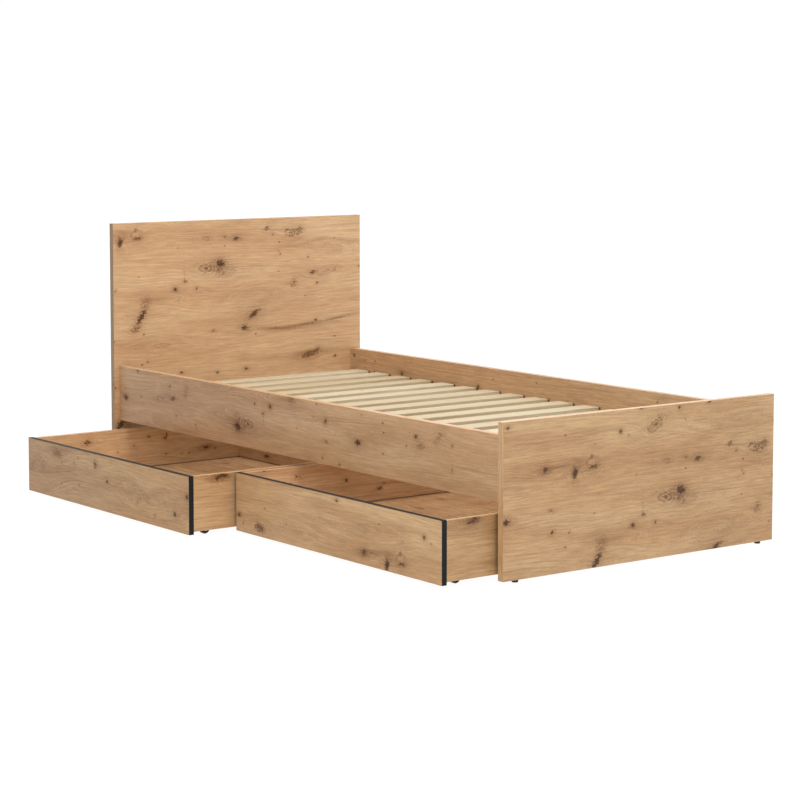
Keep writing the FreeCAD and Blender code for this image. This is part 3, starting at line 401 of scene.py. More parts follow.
# knots of the print: along and across (m), half length and half width (mm), tilt (degrees),
# darkness (below zero for a pale patch) and swirl (zero for a vein or a patch without a core)
printKnots = [
    (-0.311, 0.801, 15, 9.5, 72, 1.0, 0.7), (-0.246, 0.813, 13, 6, 0, 0.8, 1.0),
    (-0.252, 0.838, 5, 7, 0, 0.6, 1.0), (0.145, 0.799, 12, 5, 0, 0.9, 0.5),
    (0.030, 0.803, 20, 9, 0, 0.2, 1.0), (0.098, 0.806, 5, 4, 0, 0.5, 0.6),
    (0.271, 0.830, 9, 5, 30, 0.75, 0.6), (0.294, 0.807, 5, 4, 0, 0.65, 0.6),
    (0.370, 0.812, 24, 13, -10, 0.58, 1.4), (0.405, 0.818, 16, 11, 50, 0.6, 1.2),
    (0.080, 0.716, 15, 12, -25, 1.0, 0.8), (0.024, 0.702, 28, 14, -8, 0.5, 1.6),
    (0.075, 0.690, 30, 12, -35, 0.25, 1.2), (-0.061, 0.660, 9, 4, 0, 0.75, 0.6),
    (-0.063, 0.678, 16, 1.5, 90, 0.5, 0.2), (-0.100, 0.636, 6, 6, 0, 0.9, 0.5),
    (-0.016, 0.635, 3, 3, 0, 0.8, 0.3), (0.460, 0.669, 12, 6, 12, 0.8, 0.7),
    (0.525, 0.675, 50, 14, 8, 0.18, 1.2), (0.480, 0.632, 3.5, 3.5, 0, 0.85, 0.3),
    (0.382, 0.640, 18, 12, 58, 0.4, 0.8), (-0.219, 0.600, 22, 15, 40, 0.3, 0.9),
    (-0.232, 0.551, 26, 8, 56, 1.0, 0.6), (-0.253, 0.512, 17, 10, 10, 0.5, 1.4),
    (0.215, 0.537, 24, 8, 32, 0.95, 0.6), (0.176, 0.491, 10, 7, 0, 0.95, 0.8),
    (0.050, 0.487, 6, 5, 0, 0.65, 0.5), (0.300, 0.482, 70, 4.5, -3, 0.7, 0.0),
    (0.430, 0.489, 85, 3.5, 5, 0.8, 0.0), (0.570, 0.504, 60, 3.5, 8, 0.7, 0.0),
    (0.474, 0.501, 5, 4, 0, 0.85, 0.3), (0.447, 0.382, 30, 11, 12, 0.65, 1.2),
    (0.478, 0.396, 10, 4, 40, 0.6, 0.5), (0.556, 0.369, 5, 4, 0, 0.7, 0.4),
    (-0.209, 0.397, 3, 3, 0, 0.7, 0.3), (-0.078, 0.353, 6, 4, 0, 0.85, 0.3),
    (0.065, 0.343, 5, 4, 0, 0.85, 0.3), (0.182, 0.349, 6, 4, 0, 0.9, 0.3),
    (-0.317, 0.194, 17, 9, 62, 1.0, 0.8), (-0.088, 0.775, 2.5, 2.5, 0, 0.5, 0.2),
    (0.318, 0.748, 2.5, 2.5, 0, 0.75, 0.2), (0.326, 0.739, 2.5, 2.5, 0, 0.75, 0.2),
    (-0.545, 0.942, 7, 5, 0, 0.75, 0.5), (-0.416, 0.818, 9, 7, 60, 0.9, 1.0),
    (-0.365, 0.823, 42, 5, 4, 0.85, 0.0), (-0.147, 0.899, 6, 6, 90, 0.75, 0.5),
    (0.187, 0.955, 7, 3, 10, 0.8, 0.3), (-0.015, 0.910, 34, 15, 32, 0.5, 1.1),
    (0.071, 0.948, 5, 5, 0, 0.85, 0.4), (-0.073, 0.956, 7, 3, 0, 0.65, 0.4),
    (-0.551, 0.692, 12, 7, 0, 1.0, 0.5), (-0.391, 0.648, 7, 5, 50, 0.85, 0.5),
    (-0.330, 0.642, 6, 2.5, 60, 0.5, 0.2), (-0.396, 0.706, 8, 3, 0, 0.65, 0.3),
    (-0.826, 0.642, 7, 6, 0, 0.8, 0.6), (0.681, 0.600, 6, 5, 0, 0.7, 0.5),
    (0.759, 0.698, 6, 5, 0, 0.7, 0.5), (-1.038, 0.833, 7, 5, 0, 0.7, 0.6),
    (-1.016, 0.810, 4, 4, 0, 0.6, 0.3), (-0.930, 0.809, 30, 15, -8, 0.30, 0.0),
    (-0.930, 0.809, 24, 11, -8, 0.7, 1.4),
    (0.140, 0.812, 110, 9, 1, 0.30, 0.0), (-0.170, 0.604, 60, 9, 4, 0.28, 0.0),
    (0.160, 0.695, 70, 10, -8, 0.2, 0.0), (0.420, 0.386, 90, 9, 3, 0.28, 0.0),
    (0.200, 0.600, 120, 30, 4, 0.08, 0.8), (0.530, 0.760, 90, 24, -5, 0.08, 0.8),
    (-0.150, 0.450, 110, 26, 3, 0.08, 0.8), (0.330, 0.900, 110, 24, 4, 0.08, 0.8),
    (-0.249, 0.824, 20, 17, 0, 0.25, 1.4), (-0.250, 0.826, 7, 7, 0, -0.8, 0.0),
    (-0.298, 0.793, 8, 6, 0, -0.5, 0.0), (-0.331, 0.790, 5, 4, 0, -0.6, 0.0),
]

# how each board lies on the print: its grain, its rise, its photographed face and its shift, then its
# tones, which are partly the print's own colour and mostly painted light and shade, a painted shade and
# light along the grain on some boards, and its own knots; "more" are knots besides those of the print
boardLooks = {
    "headboard": {
        "grain": "Y", "rise": "Z", "face": "X", "side": 1, "shift": (0.0, 0.0),
        "tone": (1.055, 1.085, 1.07), "endTone": (0.48, 0.52, 0.58), "contrast": 0.85,
    },
    "footboard": {
        "grain": "Y", "rise": "Z", "face": "X", "side": 1, "shift": (-0.222, 0.527),
        "tone": (0.93, 0.93, 0.85), "edgeLightTone": (1.15, 1.15, 1.10), "endTone": (0.93, 0.90, 0.80),
    },
    "near_side_rail": {
        "grain": "X", "rise": "Z", "face": "Y", "side": -1, "turned": True, "shift": (-0.205, 0.987),
        "tone": (0.915, 0.935, 0.945), "edgeLightTone": (1.03, 1.0, 0.96), "gloss": 0.15, "contrast": 0.87,
        "shadeDrift": ((0.92, 0.935, 0.98), (1.06, 1.075, 1.055)),
        "more": [(0.643, 0.320, 16, 9, 10, 0.5, 0.9), (0.721, 0.350, 20, 10, 45, 0.35, 0.8),
                 (0.784, 0.271, 3, 7, 0, 0.6, 0.3), (0.256, 0.221, 3, 4, 0, 0.8, 0.3),
                 (0.170, 0.229, 4, 4, 0, 0.7, 0.3), (0.784, 0.338, 3, 4, 0, 0.6, 0.3),
                 (-0.964, 0.292, 9, 6, 0, 0.95, 0.6), (0.450, 0.300, 140, 30, 3, 0.08, 0.8),
                 (-0.300, 0.270, 120, 26, -4, 0.08, 0.8)],
    },
    "far_side_rail": {
        "grain": "X", "rise": "Z", "face": "Y", "side": -1, "shift": (0.3, 3.0),
        "tone": (0.97, 0.99, 0.98), "behindSlats": 0.005,
        "knots": [(-0.917, 0.355, 4, 4, 0, 0.7, 0.4), (-0.701, 0.329, 7, 6, 0, 0.8, 0.5),
                  (-0.665, 0.334, 90, 8, -3, 0.5, 0.0), (-0.280, 0.324, 8, 6, 0, 0.85, 0.6)],
    },
    "head_drawer_front": {
        "grain": "X", "rise": "Z", "face": "Y", "side": -1, "shift": (0.1, 4.0),
        "tone": (0.765, 0.74, 0.67), "contrast": 1.05, "gloss": 0.12,
        "shadeDrift": ((0.97, 0.985, 1.04), (1.05, 1.04, 1.01)),
        "knots": [(-0.796, 0.158, 34, 17, -8, 0.30, 0.0), (-0.796, 0.158, 26, 10, -8, 0.42, 0.9),
                  (-0.689, 0.138, 6, 5, 0, 0.5, 0.6), (-0.556, 0.150, 11, 9, 80, 0.75, 1.0),
                  (-0.483, 0.108, 7, 5, 0, 0.8, 0.5), (-0.018, 0.123, 7, 7, 0, 0.95, 1.2),
                  (-0.086, 0.063, 9, 7, 85, 0.9, 1.4), (-0.300, 0.068, 4, 3, 0, 0.6, 0.3),
                  (-0.200, 0.045, 5, 3, 0, 0.5, 0.3), (-0.330, 0.105, 90, 26, -14, 0.15, 0.8),
                  (-0.160, 0.120, 70, 18, 10, 0.11, 0.7), (-0.620, 0.062, 120, 14, 4, 0.22, 0.0),
                  (-0.930, 0.110, 70, 40, 0, 0.12, 0.6)],
    },
    "foot_drawer_front": {
        "grain": "X", "rise": "Z", "face": "Y", "side": -1, "shift": (-1.062, 0.770),
        "tone": (0.895, 0.895, 0.825), "contrast": 0.92, "gloss": 0.12,
        "shadeDrift": ((1.0, 0.99, 0.99), (1.045, 1.06, 1.06)),
        "more": [(0.330, 0.055, 90, 20, -5, 0.12, 0.8), (0.660, 0.110, 80, 20, 8, 0.10, 0.8)],
    },
    "head_drawer_head_side": {
        "grain": "Y", "rise": "Z", "face": "X", "side": 1, "shift": (0.4, 5.0),
        "tone": (1.13, 1.20, 1.23), "seam": "face",
        "knots": [(-0.460, 0.151, 9, 7, 20, 0.9, 0.7), (-0.345, 0.109, 3, 3, 0, 0.7, 0.3),
                  (-0.284, 0.125, 3, 3, 0, 0.6, 0.3), (-0.226, 0.151, 4, 3, 0, 0.85, 0.5),
                  (-0.164, 0.141, 5, 4, 30, 0.95, 0.6), (-0.157, 0.151, 1.5, 7, 0, 0.7, 0.2),
                  (-0.159, 0.087, 5, 2.5, 0, 0.8, 0.4), (-0.098, 0.083, 5, 2.5, 0, 0.45, 0.4),
                  (-0.002, 0.096, 10, 5, 5, 0.95, 0.8), (-0.002, 0.096, 30, 9, 5, 0.30, 0.6),
                  (0.035, 0.089, 4, 3, 0, 0.7, 0.5)],
    },
    "head_drawer_foot_side": {
        "grain": "Y", "rise": "Z", "face": "X", "side": 1, "shift": (0.9, 6.0),
        "tone": (0.92, 0.87, 0.78), "seam": "back",
        "knots": [(-0.563, 0.174, 13, 5, 20, 0.95, 0.6), (-0.545, 0.177, 10, 4, -15, 0.95, 0.6),
                  (-0.554, 0.172, 20, 9, 0, 0.35, 0.8)],
    },
    "foot_drawer_head_side": {
        "grain": "Y", "rise": "Z", "face": "X", "side": 1, "shift": (0.2, 7.0),
        "tone": (1.25, 1.30, 1.39), "seam": "face",
        "knots": [(-0.307, 0.154, 8, 5, 0, 0.8, 0.5), (-0.127, 0.125, 6, 5, 0, 0.8, 0.5),
                  (-0.003, 0.089, 8, 6, 0, 0.8, 0.6)],
    },
    "foot_drawer_foot_side": {
        "grain": "Y", "rise": "Z", "face": "X", "side": 1, "shift": (0.6, 8.0),
        "tone": (0.86, 0.85, 0.75), "seam": "back",
        "knots": [(-0.415, 0.173, 13, 5, 20, 0.95, 0.6), (-0.401, 0.178, 10, 4, -15, 0.95, 0.6),
                  (-0.410, 0.172, 20, 9, 0, 0.35, 0.8)],
    },
    "head_drawer_back": {
        "grain": "X", "rise": "Z", "face": "Y", "side": -1, "shift": (0.5, 9.0), "seam": "face",
        "knots": [(-0.810, 0.072, 14, 6, 0, 0.85, 0.6)],
    },
    "foot_drawer_back": {
        "grain": "X", "rise": "Z", "face": "Y", "side": -1, "shift": (0.2, 10.0), "seam": "face", "knots": [],
    },
    "head_drawer_bottom": {
        "grain": "X", "rise": "Y", "face": "Z", "side": 1, "shift": (0.7, 12.0),
        "tone": (1.27, 1.30, 1.29),
        "knots": [(-0.885, 0.017, 30, 14, 10, 0.5, 1.0)],
    },
    "foot_drawer_bottom": {
        "grain": "X", "rise": "Y", "face": "Z", "side": 1, "shift": (0.3, 14.0),
        "tone": (1.35, 1.37, 1.31),
        "knots": [(0.111, 0.170, 26, 12, 0, 0.45, 1.0), (0.197, 0.020, 20, 10, 0, 0.45, 1.0)],
    },
}


boardPrint = {
    "edgeSheet": 13.0,  # edges and ends show another sheet of the print
    # stretch of the tremble, and how far it shifts a knot's outline in metres
    "tremble": {"along": ((90.0, 170.0, 3.0), 0.030), "across": ((110.0, 210.0, 1.0), 0.022)},
    "calm": 0.25,  # share of the tremble at small knots and veins
    "small": 8,  # half length in mm
    "depth": 0.1,  # metres that a knot reaches into the board
    "margin": 0.05,  # knots this far off a board still reach it
    "stained": 0.9,  # knots at least this dark stain the grain beside them
    "stain": {"length": 3.0, "width": 1.4, "dark": 0.13, "swirl": 0.55},
}
# painted shade in the seam along each drawer's floor: where it starts, where it is full, where it clears, and
# how dark
seam = {"floor": 0.045, "dark": 0.0515, "clear": 0.0545, "strength": 0.7}
# painted shade in the gap behind the slats' far ends: its edges along the rail, at the top and at the bottom,
# and how dark
slatGap = {"end": (0.02, -0.01), "top": (0.001, -0.002), "bottom": -0.003, "strength": 0.75}
facingShare = 0.7  # a face looks along an axis when its normal has more than this of it


def placeKnots(look, turn, corners):
    # knots of the print that fall on this board, or the board's own, as they lie on the print
    shiftAlong, shiftAcross = look["shift"]

    def laid(knots):
        return [(turn * u + shiftAlong, turn * v + shiftAcross) + tuple(rest) for u, v, *rest in knots]

    if "knots" in look:
        knots = laid(look["knots"])
    else:
        margin = boardPrint["margin"]
        lows = [min(pair) - margin for pair in zip(*corners)]
        highs = [max(pair) + margin for pair in zip(*corners)]
        knots = [knot for knot in printKnots
                 if lows[0] < knot[0] < highs[0] and lows[1] < knot[1] < highs[1]]
    knots = knots + laid(look.get("more", []))

    # the grain flows round a dark knot, and is stained on both sides of it
    stain = boardPrint["stain"]
    stains = [(u, v, length * stain["length"], width * stain["width"], 0, stain["dark"], stain["swirl"])
              for u, v, length, width, tilt, dark, swirl in knots if dark >= boardPrint["stained"]]
    return stains + knots


def seamShade(shader, colour, rise, inner):
    # painted shade in the seam along the drawer's bottom, on the inner face
    inner = shader.math("MULTIPLY", inner, shader.math("GREATER_THAN", rise, seam["floor"]))
    shade = shader.spread(rise, seam["clear"], seam["dark"], 0.0, seam["strength"])
    return shader.mix(shader.math("MULTIPLY", inner, shade), colour, foil["core"])


def slatShade(shader, colour, along, rise, inner, past):
    # painted shade in the narrow gap behind the ends of the slats
    first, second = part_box("slat_01"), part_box("slat_02")
    pitch = second[0][0] - first[0][0]
    reach = (first[1][0] - first[0][0] + past) / pitch
    lowest, highest = first[0][2], first[1][2]
    phase = shader.math("DIVIDE", shader.math("SUBTRACT", along, first[0][0]), pitch)
    phase = shader.math("FRACT", phase)
    ends = [reach + part for part in slatGap["end"]]
    tops = [highest + part for part in slatGap["top"]]
    shade = shader.math("MULTIPLY", shader.spread(phase, *ends), inner)
    shade = shader.math("MULTIPLY", shade, shader.spread(rise, *tops))
    shade = shader.math("MULTIPLY", shade, shader.spread(rise, lowest + slatGap["bottom"], lowest))
    return shader.mix(shader.math("MULTIPLY", shade, slatGap["strength"]), colour, foil["core"])


def boardMaterial(name, look):
    turn = -1.0 if look.get("turned") else 1.0
    shiftAlong, shiftAcross = look["shift"]
    lowest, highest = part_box(name)
    material, shader = newMaterial("oak_" + name)
    coordinates = shader.put("TexCoord", {}).outputs
    place = shader.split(coordinates["Object"])
    facing = shader.split(coordinates["Normal"])
    grain, rise, thick = ["XYZ".index(look[word]) for word in ("grain", "rise", "face")]
    onEnd = shader.math("GREATER_THAN", shader.math("ABSOLUTE", facing[grain]), facingShare)
    onEdge = shader.math("GREATER_THAN", shader.math("ABSOLUTE", facing[rise]), facingShare)
    outward = shader.math("MULTIPLY", facing[thick], float(look["side"]))
    onBack = shader.math("LESS_THAN", outward, -facingShare)

    # the print runs along the board's faces and edges, and up its two ends
    swap = shader.math("SUBTRACT", place[rise], place[grain])
    along = shader.math("MULTIPLY_ADD", onEnd, swap, place[grain])
    narrow = shader.math("MAXIMUM", onEnd, onEdge)
    onFace = shader.math("SUBTRACT", 1.0, shader.math("MAXIMUM", onBack, narrow))
    drop = shader.math("SUBTRACT", place[thick], place[rise])
    across = shader.math("MULTIPLY_ADD", narrow, drop, place[rise])
    along = shader.math("MULTIPLY_ADD", along, turn, shiftAlong)
    across = shader.math("MULTIPLY_ADD", across, turn, shiftAcross)

    # the back shows the same piece of the print, turned half round
    corners = [(turn * corner[grain] + shiftAlong, turn * corner[rise] + shiftAcross)
               for corner in (lowest, highest)]
    spans = [sum(pair) for pair in zip(*corners)]
    backAlong = shader.math("MULTIPLY", onBack, shader.math("MULTIPLY_ADD", along, -2.0, spans[0]))
    backAcross = shader.math("MULTIPLY", onBack, shader.math("MULTIPLY_ADD", across, -2.0, spans[1]))
    along = shader.math("ADD", along, backAlong)
    across = shader.math("ADD", across, backAcross)
    side = shader.math("MULTIPLY", narrow, boardPrint["edgeSheet"])
    point = shader.join(along, across, side)

    # the knots' outlines tremble, those of small knots and veins only a little
    shaken = []
    for way, still in (("along", along), ("across", across)):
        scales, reach = boardPrint["tremble"][way]
        tremble = shader.math("SUBTRACT", shader.noise(point, scales), 0.5)
        shaken.append(shader.math("MULTIPLY_ADD", tremble, reach, still))
    rough = shader.join(*shaken, side)
    calm = shader.vectorMath("SUBTRACT", rough, point)
    calm = shader.vectorMath("MULTIPLY_ADD", calm, (boardPrint["calm"], boardPrint["calm"], 0.0), point)
    listed = placeKnots(look, turn, corners)
    calmer = [knot for knot in listed if knot[2] < boardPrint["small"] or knot[6] == 0]
    large = [knot for knot in listed if knot not in calmer]
    state = {"Point": rough, "Bend": 0.0, "Halo": 0.0, "Core": 0.0}
    for group, start in ((large, rough), (calmer, calm)):
        state["Point"] = traced(shader, state["Core"], state["Halo"], state["Bend"], start)
        for u, v, length, width, tilt, dark, swirl in group:
            feeds = dict(state, Centre=(u, v, 0.0), Tilt=(0.0, 0.0, math.radians(tilt)))
            feeds["Size"] = (length / 1000, width / 1000, boardPrint["depth"])
            feeds.update({"Dark": dark, "Swirl": swirl})
            knot = useGroup(shader, "oakKnot", feeds)
            state = {label: knot[label] for label in state}
    broad = shader.math("SUBTRACT", 1.0, narrow)
    shown = {"Point": point, "Contrast": look.get("contrast", 1.0)}
    for label in ("Bend", "Halo", "Core"):
        shown[label] = shader.math("MULTIPLY", state[label], broad)
    oak = useGroup(shader, "oakFoil", shown)

    # the face's tone is partly the print's own colour and mostly painted light and shade: the drawers' inner
    # faces and floors are painted lighter, the fronts and outer sides darker; the edges' tone is painted
    # light on the long edges, the ends are made darker and greyer, and the back keeps the print's tone; on
    # some boards a painted shade darkens the tone towards the head end and painted light brightens it towards
    # the foot end
    plain = (1.0, 1.0, 1.0)
    face, edge, end = [look.get(word, plain) + (1.0,) for word in ("tone", "edgeLightTone", "endTone")]
    tone = shader.mix(onEdge, shader.mix(onBack, face, plain + (1.0,)), edge)
    tone = shader.mix(onEnd, tone, end)
    colour = shader.tint(oak["Colour"], tone)
    # painted shade and light along the grain: darker towards the head end, lighter towards the foot end
    if "shadeDrift" in look:
        share = shader.spread(place[grain], lowest[grain], highest[grain])
        colour = shader.tint(colour, shader.mix(share, *[shadeDrift + (1.0,) for shadeDrift in look["shadeDrift"]]))
    if "behindSlats" in look:
        colour = slatShade(shader, colour, place[grain], place[rise], onFace, look["behindSlats"])
    if "seam" in look:
        inner = onFace if look["seam"] == "face" else onBack
        colour = seamShade(shader, colour, place[rise], inner)
    gloss = look.get("gloss", foil["gloss"])
    finishMaterial(shader, colour, oak["Roughness"], oak["Height"], foil["relief"], Specular_IOR_Level=gloss)
    return material


for name, look in boardLooks.items():
    dress([name], boardMaterial(name, look))
print("boards in oak foil")

# pine: pale, straight-grained, with a tone of its own for each slat

pine = {
    "pale": rgb(195, 182, 155),
    "warm": rgb(180, 163, 131),
    "line": rgb(158, 136, 101),
    "knot": rgb(120, 74, 42),
    "pitch": 0.1216,  # slat to slat
    "start": -0.985,
    "tilt": 0.06,
    "heartRise": 0.9,
    "wander": 0.03,
    "wanderScales": (1.3, 9.0, 3.3),
    "ringRate": 150.0,  # growth rings in a metre
    "ringChange": 0.4,
    "fibreScales": (18.0, 900.0, 1.0),
    "toneScales": (0.8, 8.0, 5.1),
    "toneOwn": 0.35,  # each slat's own share in its tone
    "toneTaken": (0.35, 0.95),
    "ringShade": (0.52, 0.34, 0.0, 0.45),
    "fibreShade": (0.35, 0.75, 0.0, 0.16),
    "endShade": 0.35,
    "knotCells": (3.0, 14.0, 1.7),
    "knotChance": (0.72, 1.0),
    "knotSize": 0.007,
    "knotLeast": 0.0002,
    "knotSquash": 0.6,
    "knotHalo": (3.2, 0.9, 0.0, 0.5),
    "knotCore": (1.15, 0.75, 0.0, 0.8),
    "relief": 0.0005,
    "ringRelief": 0.4,
    "roughness": 0.6,
    "fibreRough": 0.1,
    "deck": (-0.9, 0.9),  # from head to foot
    # painted shade at the head end of the deck, painted light at the foot end
    "headShadeTone": (0.95, 0.935, 0.92, 1.0),
    "footLightTone": (1.02, 1.03, 1.03, 1.0),
}


def pineMaterial(name, grain, across):
    material, shader = newMaterial(name)
    coordinates = shader.put("TexCoord", {}).outputs
    place = shader.split(coordinates["Object"])
    facing = shader.split(coordinates["Normal"])
    long = place["XYZ".index(grain)]
    wide = place["XYZ".index(across)]
    slat = shader.math("DIVIDE", shader.math("SUBTRACT", wide, pine["start"]), pine["pitch"])
    slat = shader.math("FLOOR", slat)
    own = shader.put("TexWhiteNoise", {"W": slat}, noise_dimensions="1D").outputs["Value"]
    tilt = shader.math("MULTIPLY", shader.math("SUBTRACT", own, 0.5), pine["tilt"])
    heart = shader.math("MULTIPLY_ADD", place[2], pine["heartRise"], wide)
    heart = shader.math("MULTIPLY_ADD", long, tilt, heart)
    point = shader.join(long, heart, slat)
    stray = shader.math("SUBTRACT", shader.noise(point, pine["wanderScales"]), 0.5)
    field = shader.math("MULTIPLY_ADD", stray, pine["wander"], heart)
    wave = shader.math("MULTIPLY", field, pine["ringRate"])
    wave = shader.join(wave, shader.math("MULTIPLY", long, pine["ringChange"]), slat)
    feeds = {"Vector": wave, "Scale": 1.0, "Detail": 2.0}
    rings = shader.put("TexNoise", feeds, noise_dimensions="3D").outputs[0]
    fibre = shader.noise(point, pine["fibreScales"], 3.0)
    tone = shader.noise(point, pine["toneScales"])
    tone = shader.math("ADD", tone, shader.math("MULTIPLY", own, pine["toneOwn"]))
    colour = shader.mix(shader.spread(tone, *pine["toneTaken"]), pine["pale"], pine["warm"])
    colour = shader.mix(shader.spread(rings, *pine["ringShade"]), colour, pine["line"])
    colour = shader.mix(shader.spread(fibre, *pine["fibreShade"]), colour, pine["line"])

    # a few small knots
    reach, chance = shader.spots(point, pine["knotCells"], pine["knotSquash"])
    size = shader.spread(chance, *pine["knotChance"], 0.0, pine["knotSize"])
    ratio = shader.math("DIVIDE", reach, shader.math("ADD", size, pine["knotLeast"]))
    colour = shader.mix(shader.spread(ratio, *pine["knotHalo"]), colour, pine["line"])
    colour = shader.mix(shader.spread(ratio, *pine["knotCore"]), colour, pine["knot"])

    # painted shade: slats near the head are painted a little darker, and painted light makes those near the
    # foot a little lighter
    share = shader.spread(wide, *pine["deck"])
    colour = shader.tint(colour, shader.mix(share, pine["headShadeTone"], pine["footLightTone"]))

    # sawn ends are darker, with the rings across them
    facingEnd = shader.math("ABSOLUTE", facing["XYZ".index(grain)])
    endGrain = shader.math("GREATER_THAN", facingEnd, facingShare)
    colour = shader.mix(shader.math("MULTIPLY", endGrain, pine["endShade"]), colour, pine["line"])
    height = shader.math("MULTIPLY_ADD", rings, pine["ringRelief"], fibre)
    roughness = shader.math("MULTIPLY_ADD", fibre, pine["fibreRough"], pine["roughness"])
    finishMaterial(shader, colour, roughness, height, pine["relief"])
    return material


slatNames = sorted(name for name in nodes if name.startswith("slat_") and name != "slat_tapes")
dress(slatNames, pineMaterial("slatPine", "Y", "X"))
dress(["near_slat_ledger", "far_slat_ledger"], pineMaterial("ledgerPine", "X", "Y"))
print("slats and ledgers in pine")


beech = {
    "light": rgb(214, 170, 124), "dark": rgb(196, 146, 100), "fleck": rgb(150, 100, 62),
    "toneRate": 60.0, "toneTaken": (0.3, 0.7), "fleckRate": 900.0, "fleckShade": (0.6, 0.75, 0.0, 0.5),
    "roughness": 0.65, "relief": 0.0002,
}
metal = {"cloudRate": 140.0, "cloudTaken": (0.3, 0.7), "cloudRough": 0.25}
plastic = {
    "textureRate": 2600.0, "scuffScales": (320.0, 180.0, 240.0), "scuffShade": (0.5, 0.8, 0.0, 0.6),
    "scuffRough": 0.2, "relief": 0.00008, "gloss": 0.4,
}
webbing = {
    "rib": 0.0016, "yarn": 0.0021,  # metres from one to the next
    "shadow": rgb(168, 160, 146), "thread": rgb(226, 221, 210), "worn": rgb(180, 170, 152),
    "wearScales": (40.0, 160.0, 40.0), "wearShade": (0.5, 0.8, 0.0, 0.3),
    "roughness": 0.85, "relief": 0.0006,
}


def beechMaterial():
    material, shader = newMaterial("dowelBeech")
    point = shader.put("TexCoord", {}).outputs["Object"]
    flecks = shader.noise(point, (beech["fleckRate"],) * 3, 2.0)
    tone = shader.noise(point, (beech["toneRate"],) * 3, 2.0)
    colour = shader.mix(shader.spread(tone, *beech["toneTaken"]), beech["light"], beech["dark"])
    colour = shader.mix(shader.spread(flecks, *beech["fleckShade"]), colour, beech["fleck"])
    finishMaterial(shader, colour, beech["roughness"], flecks, beech["relief"])
    return material


def metalMaterial(name, bright, dull, roughness, grainRate, depth):
    # plated or cast metal: cloudy tone, fine grain in the finish
    material, shader = newMaterial(name)
    point = shader.put("TexCoord", {}).outputs["Object"]
    cloud = shader.noise(point, (metal["cloudRate"],) * 3, 4.0, 0.6)
    grain = shader.noise(point, (grainRate,) * 3, 3.0)
    colour = shader.mix(shader.spread(cloud, *metal["cloudTaken"]), bright, dull)
    rough = shader.math("MULTIPLY_ADD", cloud, metal["cloudRough"], roughness)
    finishMaterial(shader, colour, rough, grain, depth, Metallic=1.0)
    return material


def plasticMaterial(name, colour, worn, roughness):
    # moulded plastic: fine texture, a little paler where it is rubbed
    material, shader = newMaterial(name)
    point = shader.put("TexCoord", {}).outputs["Object"]
    texture = shader.noise(point, (plastic["textureRate"],) * 3, 2.0)
    scuff = shader.noise(point, plastic["scuffScales"], 5.0, 0.7)
    shade = shader.mix(shader.spread(scuff, *plastic["scuffShade"]), colour, worn)
    rough = shader.math("MULTIPLY_ADD", scuff, plastic["scuffRough"], roughness)
    finishMaterial(shader, shade, rough, texture, plastic["relief"], Specular_IOR_Level=plastic["gloss"])
    return material


def webbingMaterial():
    # plain weave: ribs across the tape, yarns along it
    material, shader = newMaterial("tapeWeave")
    point = shader.put("TexCoord", {}).outputs["Object"]
    along, across = shader.split(point)[:2]

    def waves(place, pitch):
        return shader.math("ABSOLUTE", shader.math("SINE", shader.math("MULTIPLY", place, math.pi / pitch)))

    ribs = waves(along, webbing["rib"])
    yarns = waves(across, webbing["yarn"])
    weave = shader.math("MULTIPLY", ribs, shader.math("MULTIPLY_ADD", yarns, 0.5, 0.5))
    wear = shader.noise(point, webbing["wearScales"], 3.0)
    colour = shader.mix(weave, webbing["shadow"], webbing["thread"])
    colour = shader.mix(shader.spread(wear, *webbing["wearShade"]), colour, webbing["worn"])
    finishMaterial(shader, colour, webbing["roughness"], weave, webbing["relief"])
    return material


zincPlate = metalMaterial("zincPlate", rgb(206, 208, 212), rgb(168, 172, 180), 0.28, 1800.0, 0.00008)
castZinc = metalMaterial("castZinc", rgb(178, 178, 178), rgb(140, 141, 144), 0.42, 900.0, 0.0002)
blackPlastic = plasticMaterial("blackPlastic", rgb(26, 26, 27), rgb(58, 57, 56), 0.42)
tyrePlastic = plasticMaterial("tyrePlastic", rgb(22, 22, 23), rgb(64, 62, 60), 0.5)
drawerNames = ("head_drawer", "foot_drawer")
dress(["rail_dowels"] + [name + "_dowels" for name in drawerNames], beechMaterial())
dress(["wood_screws", "rail_cam_bolts"], zincPlate)
platedParts = ("_cam_bolts", "_castor_screws", "_castor_forks", "_castor_axles")
dress([name + part for name in drawerNames for part in platedParts], zincPlate)
dress(["rail_cams"] + [name + "_cams" for name in drawerNames], castZinc)
dress(["floor_glides"], blackPlastic)
dress([name for name in nodes if name.endswith("_wheel")], tyrePlastic)
dress(["slat_tapes"], webbingMaterial())
print("fittings, castors and tapes finished")

# black edge bands on the drawer fronts, with their long edges eased

bandLook = {
    "thick": 0.001, "ease": 0.00045, "easeSteps": 3,
    "same": 1e-6,  # metres within which two places count as one
    "colour": rgb(22, 24, 26), "worn": rgb(52, 56, 60),
    "hairRate": 900.0, "streakScales": (14.0, 700.0, 14.0), "streakShade": (0.45, 0.8, 0.0, 0.35),
    "roughness": 0.5, "streakRough": 0.15, "relief": 0.00008, "gloss": 0.16,
}


def bandMaterial():
    material, shader = newMaterial("blackBand")
    point = shader.put("TexCoord", {}).outputs["Object"]
    hair = shader.noise(point, (bandLook["hairRate"],) * 3, 3.0)
    streak = shader.noise(point, bandLook["streakScales"], 3.0)
    share = shader.spread(streak, *bandLook["streakShade"])
    colour = shader.mix(share, bandLook["colour"], bandLook["worn"])
    rough = shader.math("MULTIPLY_ADD", streak, bandLook["streakRough"], bandLook["roughness"])
    finishMaterial(shader, colour, rough, hair, bandLook["relief"], Specular_IOR_Level=bandLook["gloss"])
    return material


